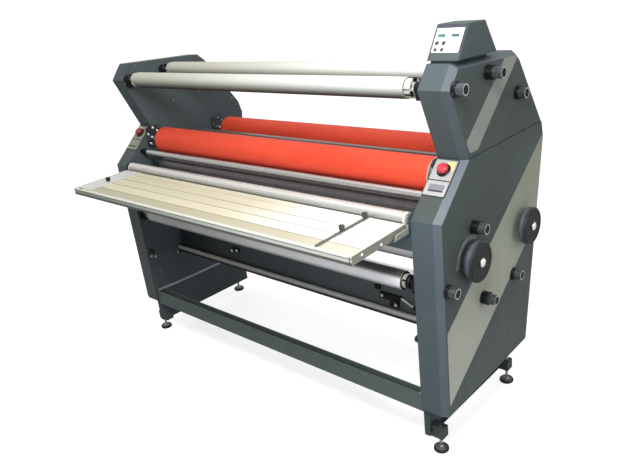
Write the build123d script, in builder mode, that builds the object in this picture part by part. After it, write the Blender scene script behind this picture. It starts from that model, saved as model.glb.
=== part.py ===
from build123d import *
import os
from math import hypot, atan2, degrees, radians, sin, cos

os.makedirs("parts", exist_ok=True)

# ---------------------------------------------------------------- driving dimensions (mm)
# Machine datum: X = 0 midway between the two cabinets, Y = 0 on the vertical front faces of
# the lower cabinets, Z = 0 on the floor.  CX, CY carry that datum to the middle of the box.
CX, CY = -32.0, -273.0

HALF_IN = 900.0           # inner faces of the cabinets
CASE_W = 90.0             # full-profile width of a cabinet
CHAMFER = 29.0            # width of the bevelled outer border
OUT = HALF_IN + CASE_W + CHAMFER
WALL = 3.0                # cabinet sheet
PLATE = 6.0               # side plate
SEAM = 2.0                # gap between head cover and lower cover

V, A, C1, C2, D = (86, 1477), (150, 1554), (600, 1528), (644, 1490), (850, 1205)
S, R1, BB, F, K = (197, 1212), (868, 1140), (722, 222), (2, 222), (2, 1038)
LEG_Y0, LEG_Y1 = 15.0, 691.0
LEG_FRONT_Z, LEG_REAR_Z = 88.0, 65.0            # the underside of each leg falls towards the rear
# levelling screws: distance outward of the side plate, y, and outer edge of the lug that holds it
FEET = {"right": [(45.0, 63.0, 68.0), (54.0, 634.0, 72.0)],
        "left": [(68.0, 63.0, 82.0), (36.0, 634.0, 60.0)]}
LUG_Z = (70.0, 116.0)                           # every lug stands level, at the same height

FILM_1, FILM_2 = (124, 1477), (350, 1491)      # upper film tubes (y, z)
FILM_3, FILM_4, FILM_5 = (34, 770), (297, 623), (559, 613)
TUBE_R, TUBE_X0, TUBE_X = 38.0, -795.0, 840.0   # 76 mm film core size, left and right tube ends
JOURNAL_R = 10.0

NIP_R, NIP_X0, NIP_X1 = 68.0, -792.0, 888.0     # 136 mm main rollers, 1680 mm face
TOP_FRONT, LOW_FRONT = (202, 1143), (202, 1005)
TOP_REAR, LOW_REAR = (655, 1094), (655, 956)
AXLE_R = 15.0
NIP_LIFT = 30.0

WHEEL_FRONT, WHEEL_REAR = (195, 829), (632, 811)
KNOBS = {                                       # axis (y, z), reach from the cabinet face, long collar
    "film_brake_knob_front": (FILM_1, 43.0, False),
    "film_brake_knob_top": (FILM_2, 64.0, True),
    "rewind_knob": ((587, 1371), 40.0, False),
    "pressure_knob": ((229, 949), 58.0, True),
    "lower_brake_knob_front": (FILM_3, 44.0, False),
    "lower_brake_knob_middle": (FILM_4, 59.0, True),
    "lower_brake_knob_rear": (FILM_5, 42.0, False),
}
KNOB_R, COLLAR_R, SPINDLE_R = 21.0, 27.0, 6.0

IDLER, IDLER_R = (24, 1028), 28.0
TABLE_Z, TABLE_X = 1025.0, 886.0
TABLE_BACK, TABLE_FRONT = -12.0, -322.0
TABLE_PIVOT = (-68, 1000)

FIT = 0.05                                      # radial clearance of a running fit
GAP = 0.3


def side(x):
    return Plane(origin=(CX + x, CY, 0), x_dir=(0, 1, 0), z_dir=(1, 0, 0))


def flat(z):
    return Plane(origin=(CX, CY, z), x_dir=(1, 0, 0), z_dir=(0, 0, 1))


def front(y):
    return Plane(origin=(CX, CY + y, 0), x_dir=(1, 0, 0), z_dir=(0, -1, 0))


MID = Plane(origin=(CX, 0, 0), x_dir=(0, 1, 0), z_dir=(1, 0, 0))


def inset(points, amounts):
    """Move every edge i -> i+1 of a clockwise or anticlockwise loop inward by amounts[i]."""
    n = len(points)
    area = sum(points[i][0] * points[(i + 1) % n][1] - points[(i + 1) % n][0] * points[i][1] for i in range(n))
    s = 1 if area > 0 else -1
    lines = []
    for i in range(n):
        (x0, y0), (x1, y1) = points[i], points[(i + 1) % n]
        d = hypot(x1 - x0, y1 - y0)
        nx, ny = -(y1 - y0) / d * s, (x1 - x0) / d * s
        lines.append((x0 + nx * amounts[i], y0 + ny * amounts[i], (x1 - x0) / d, (y1 - y0) / d))
    out = []
    for i in range(n):
        ax, ay, adx, ady = lines[i - 1]
        bx, by, bdx, bdy = lines[i]
        den = adx * bdy - ady * bdx
        t = ((bx - ax) * bdy - (by - ay) * bdx) / den
        out.append((ax + adx * t, ay + ady * t))
    return out


def save(name, builder):
    builder.part.label = name
    export_step(builder.part, f"parts/{name}.step")


# ---------------------------------------------------------------- cabinet profiles
zs = S[1] + SEAM                                # underside of the head
t_head = (zs - V[1]) / (S[1] - V[1])
S_HEAD = (V[0] + (S[0] - V[0]) * t_head, zs)
t_back = (D[1] + SEAM - C2[1]) / (D[1] - C2[1])
D_HEAD = (C2[0] + (D[0] - C2[0]) * t_back, D[1] + SEAM)
HEAD = [V, A, C1, C2, D_HEAD, S_HEAD]
HEAD_OUT = inset(HEAD, [14, 16, 24, 30, 0, 14])
LOWER = [K, S, D, R1, BB, F]
LOWER_OUT = inset(LOWER, [12, 0, 30, 30, 0, 13])

# ---------------------------------------------------------------- side plates (frame)
PLATE_TOP = inset([V, A, C1, C2, D, R1, BB, F, K, S], [WALL + 0.3] * 10)
PLATE_LOOP = PLATE_TOP[:7] + [
    (LEG_Y1, PLATE_TOP[6][1]), (LEG_Y1, LEG_REAR_Z), (LEG_Y0, LEG_FRONT_Z), (LEG_Y0, PLATE_TOP[7][1]),
] + PLATE_TOP[7:]

with BuildPart() as plain_plate:
    with BuildSketch(side(HALF_IN)):
        with BuildLine():
            Polyline(*PLATE_LOOP, close=True)
        make_face()
        with Locations(LOW_FRONT, LOW_REAR):
            Circle(32.3, mode=Mode.SUBTRACT)
        with Locations((TOP_FRONT[0], TOP_FRONT[1] + NIP_LIFT / 2), (TOP_REAR[0], TOP_REAR[1] + NIP_LIFT / 2)):
            SlotCenterToCenter(NIP_LIFT, 2 * (24 + GAP), rotation=90, mode=Mode.SUBTRACT)
        with Locations(WHEEL_FRONT, WHEEL_REAR):
            Circle(8 + FIT, mode=Mode.SUBTRACT)
        with Locations(*[k[0] for k in KNOBS.values()]):
            Circle(SPINDLE_R + FIT, mode=Mode.SUBTRACT)
    extrude(amount=PLATE)
    # folded flanges round the leg, seen below the cabinet
    with BuildSketch(side(HALF_IN + PLATE)):
        with BuildLine():
            Polyline((LEG_Y0, LEG_FRONT_Z), (LEG_Y1, LEG_REAR_Z), (LEG_Y1, 216), (LEG_Y1 - 4, 216),
                     (LEG_Y1 - 4, LEG_REAR_Z + 4.1), (LEG_Y0 + 4, LEG_FRONT_Z + 4), (LEG_Y0 + 4, 216),
                     (LEG_Y0, 216), close=True)
        make_face()
    extrude(amount=20)

# foot lugs welded to the legs, each with a bush for the levelling screw
side_plates = {}
for sgn, hand in ((1, "right"), (-1, "left")):
    with BuildPart() as plate:
        if sgn > 0:
            add(plain_plate.part)
        else:
            mirror(plain_plate.part, about=MID)
        for x, y, reach in FEET[hand]:
            with BuildSketch(flat(LUG_Z[0])):
                with Locations((sgn * (HALF_IN + (reach + 4) / 2), y)):
                    RectangleRounded(reach - 4, 48, 5)
            extrude(amount=LUG_Z[1] - LUG_Z[0])
            with BuildSketch(flat(LUG_Z[0])):
                with Locations((sgn * (HALF_IN + x), y)):
                    Circle(8 + FIT)
            extrude(amount=LUG_Z[1] - LUG_Z[0], mode=Mode.SUBTRACT)
    save(f"side_plate_{hand}", plate)
    side_plates[hand] = plate

# ---------------------------------------------------------------- lower covers (hollow shells)
# slanted operator face: unit vectors along it (up the slope) and out of it
slope = hypot(S[0] - K[0], S[1] - K[1])
UP = ((S[0] - K[0]) / slope, (S[1] - K[1]) / slope)
NOUT = (-UP[1], UP[0])
STOP_X, STOP_DOWN, JOG_DOWN = 948.0, 50.0, 122.0


def slant(x, down, out=0.0):
    """Plane on the operator face, `down` mm below the seam, local x = +X, z = out of the face."""
    y = S[0] - UP[0] * down + NOUT[0] * out
    z = S[1] - UP[1] * down + NOUT[1] * out
    return Plane(origin=(CX + x, CY + y, z), x_dir=(1, 0, 0), z_dir=(0, NOUT[0], NOUT[1]))


with BuildPart() as lower_shell:
    with BuildSketch(side(HALF_IN)):
        with BuildLine():
            Polyline(*LOWER, close=True)
        make_face()
    extrude(amount=CASE_W)
    with BuildSketch(side(HALF_IN + CASE_W)):
        with BuildLine():
            Polyline(*LOWER, close=True)
        make_face()
    with BuildSketch(side(OUT)):
        with BuildLine():
            Polyline(*LOWER_OUT, close=True)
        make_face()
    loft(ruled=True)
    # hollow, open towards the side plate
    with BuildSketch(side(HALF_IN)):
        with BuildLine():
            Polyline(*inset(LOWER, [WALL] * 6), close=True)
        make_face()
    extrude(amount=CASE_W, mode=Mode.SUBTRACT)
    with BuildSketch(side(HALF_IN + CASE_W)):
        with BuildLine():
            Polyline(*inset(LOWER, [WALL] * 6), close=True)
        make_face()
    with BuildSketch(side(OUT - WALL)):
        with BuildLine():
            Polyline(*inset(LOWER_OUT, [WALL] * 6), close=True)
        make_face()
    loft(ruled=True, mode=Mode.SUBTRACT)
    # the side plate passes through the roof of the cover
    with BuildSketch(side(HALF_IN)):
        with BuildLine():
            Polyline(*inset(LOWER, [WALL, -5, WALL, WALL, WALL, WALL]), close=True)
        make_face()
        with Locations((S[0] + 4.2, S[1] - 0.5)):
            Rectangle(2.6, 2.0)
    extrude(amount=PLATE + GAP, mode=Mode.SUBTRACT)
    # the leg passes through the floor of the cover beside the plate
    with BuildSketch(flat(F[1] - 5)):
        with Locations((HALF_IN + 3, (LEG_Y0 + LEG_Y1) / 2)):
            Rectangle(7, LEG_Y1 - LEG_Y0 + 2)
    extrude(amount=10, mode=Mode.SUBTRACT)
    # openings of the operator face
    with BuildSketch(slant(STOP_X, STOP_DOWN, -12)):
        Circle(11 + GAP)
    extrude(amount=24, mode=Mode.SUBTRACT)
    with BuildSketch(slant(STOP_X, JOG_DOWN, -12)):
        RectangleRounded(58.6, 24.6, 3.3)
    extrude(amount=24, mode=Mode.SUBTRACT)

with BuildPart() as lower_cover_left:
    mirror(lower_shell.part, about=MID)
save("lower_cover_left", lower_cover_left)

with BuildPart() as lower_cover_right:
    add(lower_shell.part)
    with BuildSketch(side(OUT - 20)):
        with Locations(WHEEL_FRONT, WHEEL_REAR):
            Circle(8 + GAP)
        with Locations(*[k[0] for k in KNOBS.values() if k[0][1] < 1200]):
            Circle(SPINDLE_R + GAP)
    extrude(amount=40, mode=Mode.SUBTRACT)
save("lower_cover_right", lower_cover_right)

# ---------------------------------------------------------------- head covers
with BuildPart() as head_shell:
    with BuildSketch(side(HALF_IN)):
        with BuildLine():
            Polyline(*HEAD, close=True)
        make_face()
    extrude(amount=CASE_W)
    with BuildSketch(side(HALF_IN + CASE_W)):
        with BuildLine():
            Polyline(*HEAD, close=True)
        make_face()
    with BuildSketch(side(OUT)):
        with BuildLine():
            Polyline(*HEAD_OUT, close=True)
        make_face()
    loft(ruled=True)
    with BuildSketch(side(HALF_IN)):
        with BuildLine():
            Polyline(*inset(HEAD, [WALL] * 6), close=True)
        make_face()
    extrude(amount=CASE_W, mode=Mode.SUBTRACT)
    with BuildSketch(side(HALF_IN + CASE_W)):
        with BuildLine():
            Polyline(*inset(HEAD, [WALL] * 6), close=True)
        make_face()
    with BuildSketch(side(OUT - WALL)):
        with BuildLine():
            Polyline(*inset(HEAD_OUT, [WALL] * 6), close=True)
        make_face()
    loft(ruled=True, mode=Mode.SUBTRACT)
    with BuildSketch(side(HALF_IN)):
        with BuildLine():
            Polyline(*inset(HEAD, [WALL, WALL, WALL, WALL, -5, WALL]), close=True)
        make_face()
    extrude(amount=PLATE + GAP, mode=Mode.SUBTRACT)

with BuildPart() as head_cover_left:
    mirror(head_shell.part, about=MID)
save("head_cover_left", head_cover_left)

with BuildPart() as head_cover_right:
    add(head_shell.part)
    with BuildSketch(side(OUT - 20)):
        with Locations(*[k[0] for k in KNOBS.values() if k[0][1] > 1200]):
            Circle(SPINDLE_R + GAP)
    extrude(amount=40, mode=Mode.SUBTRACT)
save("head_cover_right", head_cover_right)

# ---------------------------------------------------------------- control box on the right head
BOX = [(155, 1563), (232, 1673), (345, 1669), (427, 1551)]


def head_top(y, up):
    return A[1] + (C1[1] - A[1]) * (y - A[0]) / (C1[0] - A[0]) + up


with BuildPart() as control_box:
    with BuildSketch(side(HALF_IN)):
        with BuildLine():
            Polyline(*BOX, close=True)
        make_face()
    extrude(amount=OUT - HALF_IN)
    chamfer(control_box.edges().group_by(Axis.X)[-1], 2)
    with BuildSketch(side(HALF_IN + 3)):
        with BuildLine():
            Polyline(*inset(BOX, [3, 3, 3, -4]), close=True)
        make_face()
    extrude(amount=OUT - HALF_IN - 6, mode=Mode.SUBTRACT)
    # recessed plinth that stands on the head
    with BuildSketch(side(HALF_IN + 8)):
        with BuildLine():
            Polyline((166, head_top(166, 0.05)), (166, 1566), (174, 1572), (408, 1562),
                     (416, 1556), (416, head_top(416, 0.05)), close=True)
        make_face()
    extrude(amount=76)
    with BuildSketch(side(HALF_IN + 11)):
        with BuildLine():
            Polyline((170, 1540), (170, 1580), (412, 1580), (412, 1530), close=True)
        make_face()
    extrude(amount=70, mode=Mode.SUBTRACT)
    # ties from the plinth to the front and back walls of the housing
    with BuildSketch(side(HALF_IN + 3)):
        with BuildLine():
            Polyline((158.5, 1564.5), (161.5, 1568.7), (176, 1568.1), (176, 1563.8), close=True)
        make_face()
        with BuildLine():
            Polyline((406, 1553.5), (406, 1557.5), (420, 1557), (423, 1552.6), close=True)
        make_face()
    extrude(amount=OUT - HALF_IN - 6)
save("control_box", control_box)

BLEN = hypot(BOX[1][0] - BOX[0][0], BOX[1][1] - BOX[0][1])
BUP = ((BOX[1][0] - BOX[0][0]) / BLEN, (BOX[1][1] - BOX[0][1]) / BLEN)
BOUT = (-BUP[1], BUP[0])


def fascia(x, down, out=0.0):
    y = BOX[1][0] - BUP[0] * down + BOUT[0] * out
    z = BOX[1][1] - BUP[1] * down + BOUT[1] * out
    return Plane(origin=(CX + x, CY + y, z), x_dir=(1, 0, 0), z_dir=(0, BOUT[0], BOUT[1]))


with BuildPart() as control_panel:
    with BuildSketch(fascia(956, 58.5, 0.02)):
        RectangleRounded(108, 93, 3)
    extrude(amount=1.2)
    # two display windows and four embossed keys
    with BuildSketch(fascia(956, 41, 1.0)):
        with Locations((-25, 0), (27, 0)):
            RectangleRounded(30, 11, 1.5)
    extrude(amount=1.0)
    with BuildSketch(fascia(956, 82, 1.0)):
        with Locations((-36, 11), (-10, 11), (-36, -13), (-10, -13)):
            Circle(5.5)
    extrude(amount=1.4)
    with BuildSketch(fascia(956, 90, 1.0)):
        with Locations((22, 0)):
            RectangleRounded(26, 16, 4)
    extrude(amount=0.7)
save("control_panel", control_panel)

# ---------------------------------------------------------------- operator switch plates and buttons
with BuildPart() as switch_plate_one:
    with BuildSketch(slant(946, 81, 0.02)):
        RectangleRounded(87, 147, 4)
    extrude(amount=3)
    with BuildSketch(slant(STOP_X, STOP_DOWN, -1)):
        Circle(11 + GAP)
    extrude(amount=6, mode=Mode.SUBTRACT)
    with BuildSketch(slant(STOP_X, JOG_DOWN, -1)):
        RectangleRounded(58.6, 24.6, 3.3)
    extrude(amount=6, mode=Mode.SUBTRACT)
with BuildPart() as switch_plates:
    add(switch_plate_one.part)
    mirror(switch_plate_one.part, about=MID)
save("switch_plates", switch_plates)

with BuildPart() as estop_button_right:
    with BuildSketch(slant(STOP_X, STOP_DOWN, -22)):
        Circle(11)
    extrude(amount=34)
    with BuildSketch(slant(STOP_X, STOP_DOWN, 11)):
        Circle(20)
    extrude(amount=15)
    fillet(estop_button_right.faces().sort_by(Axis((0, 0, 0), (0, NOUT[0], NOUT[1])))[-1].edges(), 6)
save("estop_button_right", estop_button_right)
with BuildPart() as estop_button_left:
    mirror(estop_button_right.part, about=MID)
save("estop_button_left", estop_button_left)

with BuildPart() as jog_button_right:
    with BuildSketch(slant(STOP_X, JOG_DOWN, -14)):
        RectangleRounded(58, 24, 3)
    extrude(amount=21)
    fillet(jog_button_right.faces().sort_by(Axis((0, 0, 0), (0, NOUT[0], NOUT[1])))[-1].edges(), 1.5)
save("jog_button_right", jog_button_right)
with BuildPart() as jog_button_left:
    mirror(jog_button_right.part, about=MID)
save("jog_button_left", jog_button_left)

# ---------------------------------------------------------------- cross members
with BuildPart() as front_beam:
    with BuildSketch(side(-HALF_IN)):
        with Locations((35, 242)):
            Rectangle(40, 84)
        with Locations((35, 246)):
            Rectangle(32, 84, mode=Mode.SUBTRACT)
    extrude(amount=2 * HALF_IN)
save("front_beam", front_beam)

with BuildPart() as apron_channel:
    with BuildSketch(side(-HALF_IN)):
        with Locations((60, 944)):
            Rectangle(40, 98)
        with Locations((63, 944)):
            Rectangle(40, 92, mode=Mode.SUBTRACT)
    extrude(amount=2 * HALF_IN)
save("apron_channel", apron_channel)

with BuildPart() as lower_guard:
    with BuildSketch(side(-HALF_IN)):
        with BuildLine():
            Polyline((248, 640), (245, 637), (245, 472), (251, 468), (258, 468), (258, 471),
                     (252.5, 471), (248, 474), (248, 637), (254, 637), (254, 640), close=True)
        make_face()
    extrude(amount=2 * HALF_IN)
save("lower_guard", lower_guard)

# round bars: nip guard, exit guard and lower tie rod
with BuildPart() as tie_bars:
    with BuildSketch(side(-HALF_IN + 0.05)):
        with Locations((118, 1091)):
            Circle(15)
        with Locations((560, 1095)):
            Circle(13)
        with Locations((226, 472)):
            Circle(17)
    extrude(amount=2 * HALF_IN - 0.1)
save("tie_bars", tie_bars)


# ---------------------------------------------------------------- rollers
def hollow_roller(axis, r, x0, x1, wall, journal, j0, j1, sprocket=None, disc=14.0):
    """Tube with drilled end discs, a journal from j0 to j1 and an optional (x0, x1, r) sprocket."""
    with BuildPart() as b:
        with BuildSketch(side(x0)):
            with Locations(axis):
                Circle(r)
        extrude(amount=x1 - x0)
        chamfer(b.edges().filter_by(GeomType.CIRCLE), 1.5)
        with BuildSketch(side(x0 + disc)):
            with Locations(axis):
                Circle(r - wall)
        extrude(amount=x1 - x0 - 2 * disc, mode=Mode.SUBTRACT)
        with BuildSketch(side(x0 - 1)):
            with Locations(axis):
                with PolarLocations((r - wall + journal) / 2, 3, start_angle=30):
                    Circle((r - wall - journal) / 2 * 0.7)
        extrude(amount=x1 - x0 + 2, mode=Mode.SUBTRACT)
        with BuildSketch(side(j0)):
            with Locations(axis):
                Circle(journal)
        extrude(amount=x0 + disc - j0)
        with BuildSketch(side(x1 - disc)):
            with Locations(axis):
                Circle(journal)
        extrude(amount=j1 - x1 + disc)
        if sprocket:
            with BuildSketch(side(sprocket[0])):
                with Locations(axis):
                    Circle(sprocket[2])
                    with PolarLocations(sprocket[2] + 0.8, 24):
                        Circle(2.4, mode=Mode.SUBTRACT)
            extrude(amount=sprocket[1] - sprocket[0])
    return b


def sleeve(axis, r, ri, x0, x1):
    with BuildPart() as b:
        with BuildSketch(side(x0)):
            with Locations(axis):
                Circle(r)
        extrude(amount=x1 - x0)
        fillet(b.edges().filter_by(GeomType.CIRCLE), 5)
        with BuildSketch(side(x0)):
            with Locations(axis):
                Circle(ri)
        extrude(amount=x1 - x0, mode=Mode.SUBTRACT)
    return b


SPROCKET = (916.0, 924.0, 35.0)
lower_roller_front = hollow_roller(LOW_FRONT, NIP_R, NIP_X0, NIP_X1, 9, AXLE_R, -908, 932, SPROCKET)
save("lower_roller_front", lower_roller_front)
lower_roller_rear = hollow_roller(LOW_REAR, NIP_R, NIP_X0, NIP_X1, 9, AXLE_R, -908, 996, SPROCKET)
save("lower_roller_rear", lower_roller_rear)

top_roller_front_core = hollow_roller(TOP_FRONT, NIP_R - 8.0, NIP_X0 - 1, NIP_X1 + 1, 7, AXLE_R, -908, 908)
save("top_roller_front_core", top_roller_front_core)
top_roller_rear_core = hollow_roller(TOP_REAR, NIP_R - 8.0, NIP_X0 - 1, NIP_X1 + 1, 7, AXLE_R, -908, 908)
save("top_roller_rear_core", top_roller_rear_core)
top_roller_front_sleeve = sleeve(TOP_FRONT, NIP_R, NIP_R - 8.0, NIP_X0, NIP_X1)
save("top_roller_front_sleeve", top_roller_front_sleeve)
top_roller_rear_sleeve = sleeve(TOP_REAR, NIP_R, NIP_R - 8.0, NIP_X0, NIP_X1)
save("top_roller_rear_sleeve", top_roller_rear_sleeve)

lower_film_roller_front = hollow_roller(FILM_3, TUBE_R, TUBE_X0, TUBE_X, 4, JOURNAL_R, -897, 897)
save("lower_film_roller_front", lower_film_roller_front)
lower_film_roller_middle = hollow_roller(FILM_4, TUBE_R, TUBE_X0, TUBE_X, 4, JOURNAL_R, -897, 897)
save("lower_film_roller_middle", lower_film_roller_middle)
lower_film_roller_rear = hollow_roller(FILM_5, TUBE_R, TUBE_X0, TUBE_X, 4, JOURNAL_R, -897, 897)
save("lower_film_roller_rear", lower_film_roller_rear)
idler_roller = hollow_roller(IDLER, IDLER_R, -876, 868, 4, 8.0, -898, 898, disc=10.0)
save("idler_roller", idler_roller)


def core_tube(axis):
    with BuildPart() as b:
        with BuildSketch(side(TUBE_X0)):
            with Locations(axis):
                Circle(TUBE_R)
                Circle(TUBE_R - 3, mode=Mode.SUBTRACT)
        extrude(amount=TUBE_X - TUBE_X0)
    return b


def film_shaft(axis):
    """Steel shaft with a slotted core chuck at each end and a turned journal outside it."""
    with BuildPart() as b:
        with BuildSketch(side(-897)):
            with Locations(axis):
                Circle(JOURNAL_R)
        extrude(amount=2 * 897)
        for s, c0 in ((-1, 745), (1, 790)):
            with BuildSketch(side(s * c0)):
                with Locations(axis):
                    Circle(TUBE_R - 3.02)
                    Circle(JOURNAL_R, mode=Mode.SUBTRACT)
                    with PolarLocations(TUBE_R - 3, 3, start_angle=60):
                        Rectangle(18, 7, mode=Mode.SUBTRACT)
            extrude(amount=s * 78)
            with BuildSketch(side(s * (c0 + 78))):
                with Locations(axis):
                    Circle(22)
                    Circle(JOURNAL_R, mode=Mode.SUBTRACT)
            extrude(amount=s * 6)
    return b


film_tube_front = core_tube(FILM_1)
save("film_tube_front", film_tube_front)
film_tube_top = core_tube(FILM_2)
save("film_tube_top", film_tube_top)
film_shaft_front = film_shaft(FILM_1)
save("film_shaft_front", film_shaft_front)
film_shaft_top = film_shaft(FILM_2)
save("film_shaft_top", film_shaft_top)

# open-topped cradles that carry the film journals
with BuildPart() as film_holders:
    for sgn in (-1, 1):
        with BuildSketch(side(sgn * (HALF_IN - 0.02))):
            with Locations(FILM_1, FILM_2, FILM_3, FILM_4, FILM_5):
                Circle(27)
                with Locations((0, -20)):
                    RectangleRounded(36, 40, 4)
        extrude(amount=-sgn * 20)
        with BuildSketch(side(sgn * (HALF_IN + 5))):
            with Locations(FILM_1, FILM_2, FILM_3, FILM_4, FILM_5):
                Circle(JOURNAL_R + FIT)
                with Locations((0, 20)):
                    Rectangle(2 * (JOURNAL_R + FIT), 40)
        extrude(amount=-sgn * 40, mode=Mode.SUBTRACT)
save("film_holders", film_holders)

# ---------------------------------------------------------------- bearings
with BuildPart() as roller_bearings:
    for sgn in (-1, 1):
        with BuildSketch(side(sgn * HALF_IN)):
            with Locations(LOW_FRONT, LOW_REAR):
                Circle(32)
        extrude(amount=sgn * 10)
        with BuildSketch(side(sgn * (HALF_IN - 0.02))):
            with Locations(LOW_FRONT, LOW_REAR):
                Circle(39)
        extrude(amount=-sgn * 7)
        with BuildSketch(side(sgn * (HALF_IN - 0.02))):
            with Locations(LOW_FRONT, LOW_REAR):
                Circle(32)
        extrude(amount=sgn * 1)
        with BuildSketch(side(sgn * (HALF_IN - 20))):
            with Locations(LOW_FRONT, LOW_REAR):
                Circle(AXLE_R + FIT)
        extrude(amount=sgn * 40, mode=Mode.SUBTRACT)
save("roller_bearings", roller_bearings)


SLIDE_BOLTS = [(10, 57), (36, 37), (-31, 28), (-18, -30), (32, -28)]


def nip_blocks(axis):
    """Sliding bearing blocks of an upper roller, one in each side plate's slot."""
    with BuildPart() as b:
        for sgn in (-1, 1):
            with BuildSketch(side(sgn * (HALF_IN - GAP))):
                with Locations(axis):
                    Circle(24)
            extrude(amount=sgn * 11)
            # slide plate that keeps the slot covered through the lift
            with BuildSketch(side(sgn * (HALF_IN - GAP))):
                with Locations((axis[0] + 2.5, axis[1] + 10)):
                    RectangleRounded(87, 116, 16)
            extrude(amount=-sgn * 5)
            with BuildSketch(side(sgn * (HALF_IN - GAP - 5))):
                with Locations(*[(axis[0] + a, axis[1] + c) for a, c in SLIDE_BOLTS]):
                    Circle(5)
            extrude(amount=-sgn * 3.5)
            with BuildSketch(side(sgn * (HALF_IN - 20))):
                with Locations(axis):
                    Circle(AXLE_R + FIT)
            extrude(amount=sgn * 40, mode=Mode.SUBTRACT)
    return b


nip_blocks_front = nip_blocks(TOP_FRONT)
save("nip_blocks_front", nip_blocks_front)
nip_blocks_rear = nip_blocks(TOP_REAR)
save("nip_blocks_rear", nip_blocks_rear)


# ---------------------------------------------------------------- handwheels
def handwheel(axis, x0):
    """Dished wheel with a flat face; its rim starts x0 outside the cabinet."""
    y, z = axis
    with BuildPart() as b:
        with BuildSketch(Plane(origin=(CX, CY + y, z), x_dir=(1, 0, 0), z_dir=(0, -1, 0))):
            with BuildLine():
                Polyline((HALF_IN + GAP, 0), (HALF_IN + GAP, 8), (OUT + 4, 8), (OUT + 4, 22), (OUT + x0 + 8, 22),
                         (OUT + x0 + 11, 28), (OUT + x0 + 11, 56), (OUT + x0 + 4, 62), (OUT + x0, 67),
                         (OUT + x0, 74), (OUT + x0 + 5, 79), (OUT + 49, 79), (OUT + 54, 74), (OUT + 54, 66),
                         (OUT + 52, 62), (OUT + 52, 25), (OUT + 54.5, 21), (OUT + 57, 19), (OUT + 59, 16),
                         (OUT + 59, 0), close=True)
            make_face()
        revolve(axis=Axis((CX, CY + y, z), (1, 0, 0)))
    return b


handwheel_front = handwheel(WHEEL_FRONT, 14)
save("handwheel_front", handwheel_front)
handwheel_rear = handwheel(WHEEL_REAR, 23)
save("handwheel_rear", handwheel_rear)

# ---------------------------------------------------------------- brake knobs and their fixed collars
with BuildPart() as knob_collars:
    for (y, z), reach, long in KNOBS.values():
        with BuildSketch(side(OUT + 0.02)):
            with Locations((y, z)):
                Circle(COLLAR_R)
        extrude(amount=9 if long else 13)
        if long:
            with BuildSketch(side(OUT + 9)):
                with Locations((y, z)):
                    Circle(21)
            extrude(amount=9)
            with BuildSketch(side(OUT + 18)):
                with Locations((y, z)):
                    Circle(COLLAR_R)
            extrude(amount=10)
        with BuildSketch(side(OUT - 5)):
            with Locations((y, z)):
                Circle(SPINDLE_R + FIT)
        extrude(amount=60, mode=Mode.SUBTRACT)
save("knob_collars", knob_collars)


def brake_knob(axis, reach, long):
    x0 = OUT + (28.5 if long else 13.5)
    with BuildPart() as b:
        with BuildSketch(side(x0)):
            with Locations(axis):
                Circle(KNOB_R)
                with PolarLocations(KNOB_R + 0.9, 20):
                    Circle(2.0, mode=Mode.SUBTRACT)
        extrude(amount=OUT + reach - x0)
        with BuildSketch(side(OUT + reach - 2.5)):
            with Locations(axis):
                Circle(15.5)
                Circle(8, mode=Mode.SUBTRACT)
        extrude(amount=2.6, mode=Mode.SUBTRACT)
        with BuildSketch(side(HALF_IN + GAP)):
            with Locations(axis):
                Circle(SPINDLE_R)
        extrude(amount=x0 - HALF_IN)
    return b


for knob_name, (axis, reach, long) in KNOBS.items():
    save(knob_name, brake_knob(axis, reach, long))

# ---------------------------------------------------------------- drive in the right cabinet
with BuildPart() as drive_chain:
    dy, dz = LOW_REAR[0] - LOW_FRONT[0], LOW_REAR[1] - LOW_FRONT[1]
    mid = ((LOW_FRONT[0] + LOW_REAR[0]) / 2, (LOW_FRONT[1] + LOW_REAR[1]) / 2)
    with BuildSketch(side(915)):
        with Locations(Location((mid[0], mid[1], 0), (0, 0, degrees(atan2(dz, dy))))):
            SlotCenterToCenter(hypot(dy, dz), 2 * 42.0)
            SlotCenterToCenter(hypot(dy, dz), 2 * 35.6, mode=Mode.SUBTRACT)
    extrude(amount=10)
save("drive_chain", drive_chain)

with BuildPart() as drive_motor:
    with BuildSketch(side(934)):
        with Locations((LOW_REAR[0], LOW_REAR[1])):
            RectangleRounded(104, 104, 10)
    extrude(amount=66)
    with BuildSketch(Plane(origin=(CX + 967, CY + LOW_REAR[0] - 51, LOW_REAR[1]), x_dir=(1, 0, 0), z_dir=(0, -1, 0))):
        Circle(31)
    extrude(amount=170)
    with BuildSketch(side(HALF_IN + PLATE)):
        with Locations((698, 999), (698, 913)):
            Circle(5)
    extrude(amount=30)
    with BuildSketch(side(930)):
        with Locations(LOW_REAR):
            Circle(AXLE_R + FIT)
    extrude(amount=80, mode=Mode.SUBTRACT)
save("drive_motor", drive_motor)

# ---------------------------------------------------------------- feed table
EAR = [(-102, 984), (-96, 978), (8, 978), (34, 982), (38, 994), (58, 996), (64, 1006), (64, 1042), (52, 1056),
       (4, 1056), (-6, 1046), (-16, 1012), (-80, 1012), (-88, 1004), (-90, 992), (-102, 991.5)]
with BuildPart() as table_brackets:
    for sgn in (-1, 1):
        with BuildSketch(side(sgn * (HALF_IN - 0.02))):
            with BuildLine():
                Polyline(*EAR, close=True)
            make_face()
            with Locations(IDLER):
                Circle(8 + FIT, mode=Mode.SUBTRACT)
            with Locations(TABLE_PIVOT):
                Circle(6 + FIT, mode=Mode.SUBTRACT)
        extrude(amount=-sgn * 7)
        # stop stud under the table's end plate
        with BuildSketch(side(sgn * (HALF_IN - 2))):
            with Locations((-96, 987.4)):
                Circle(4)
        extrude(amount=-sgn * 22)
save("table_brackets", table_brackets)

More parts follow.
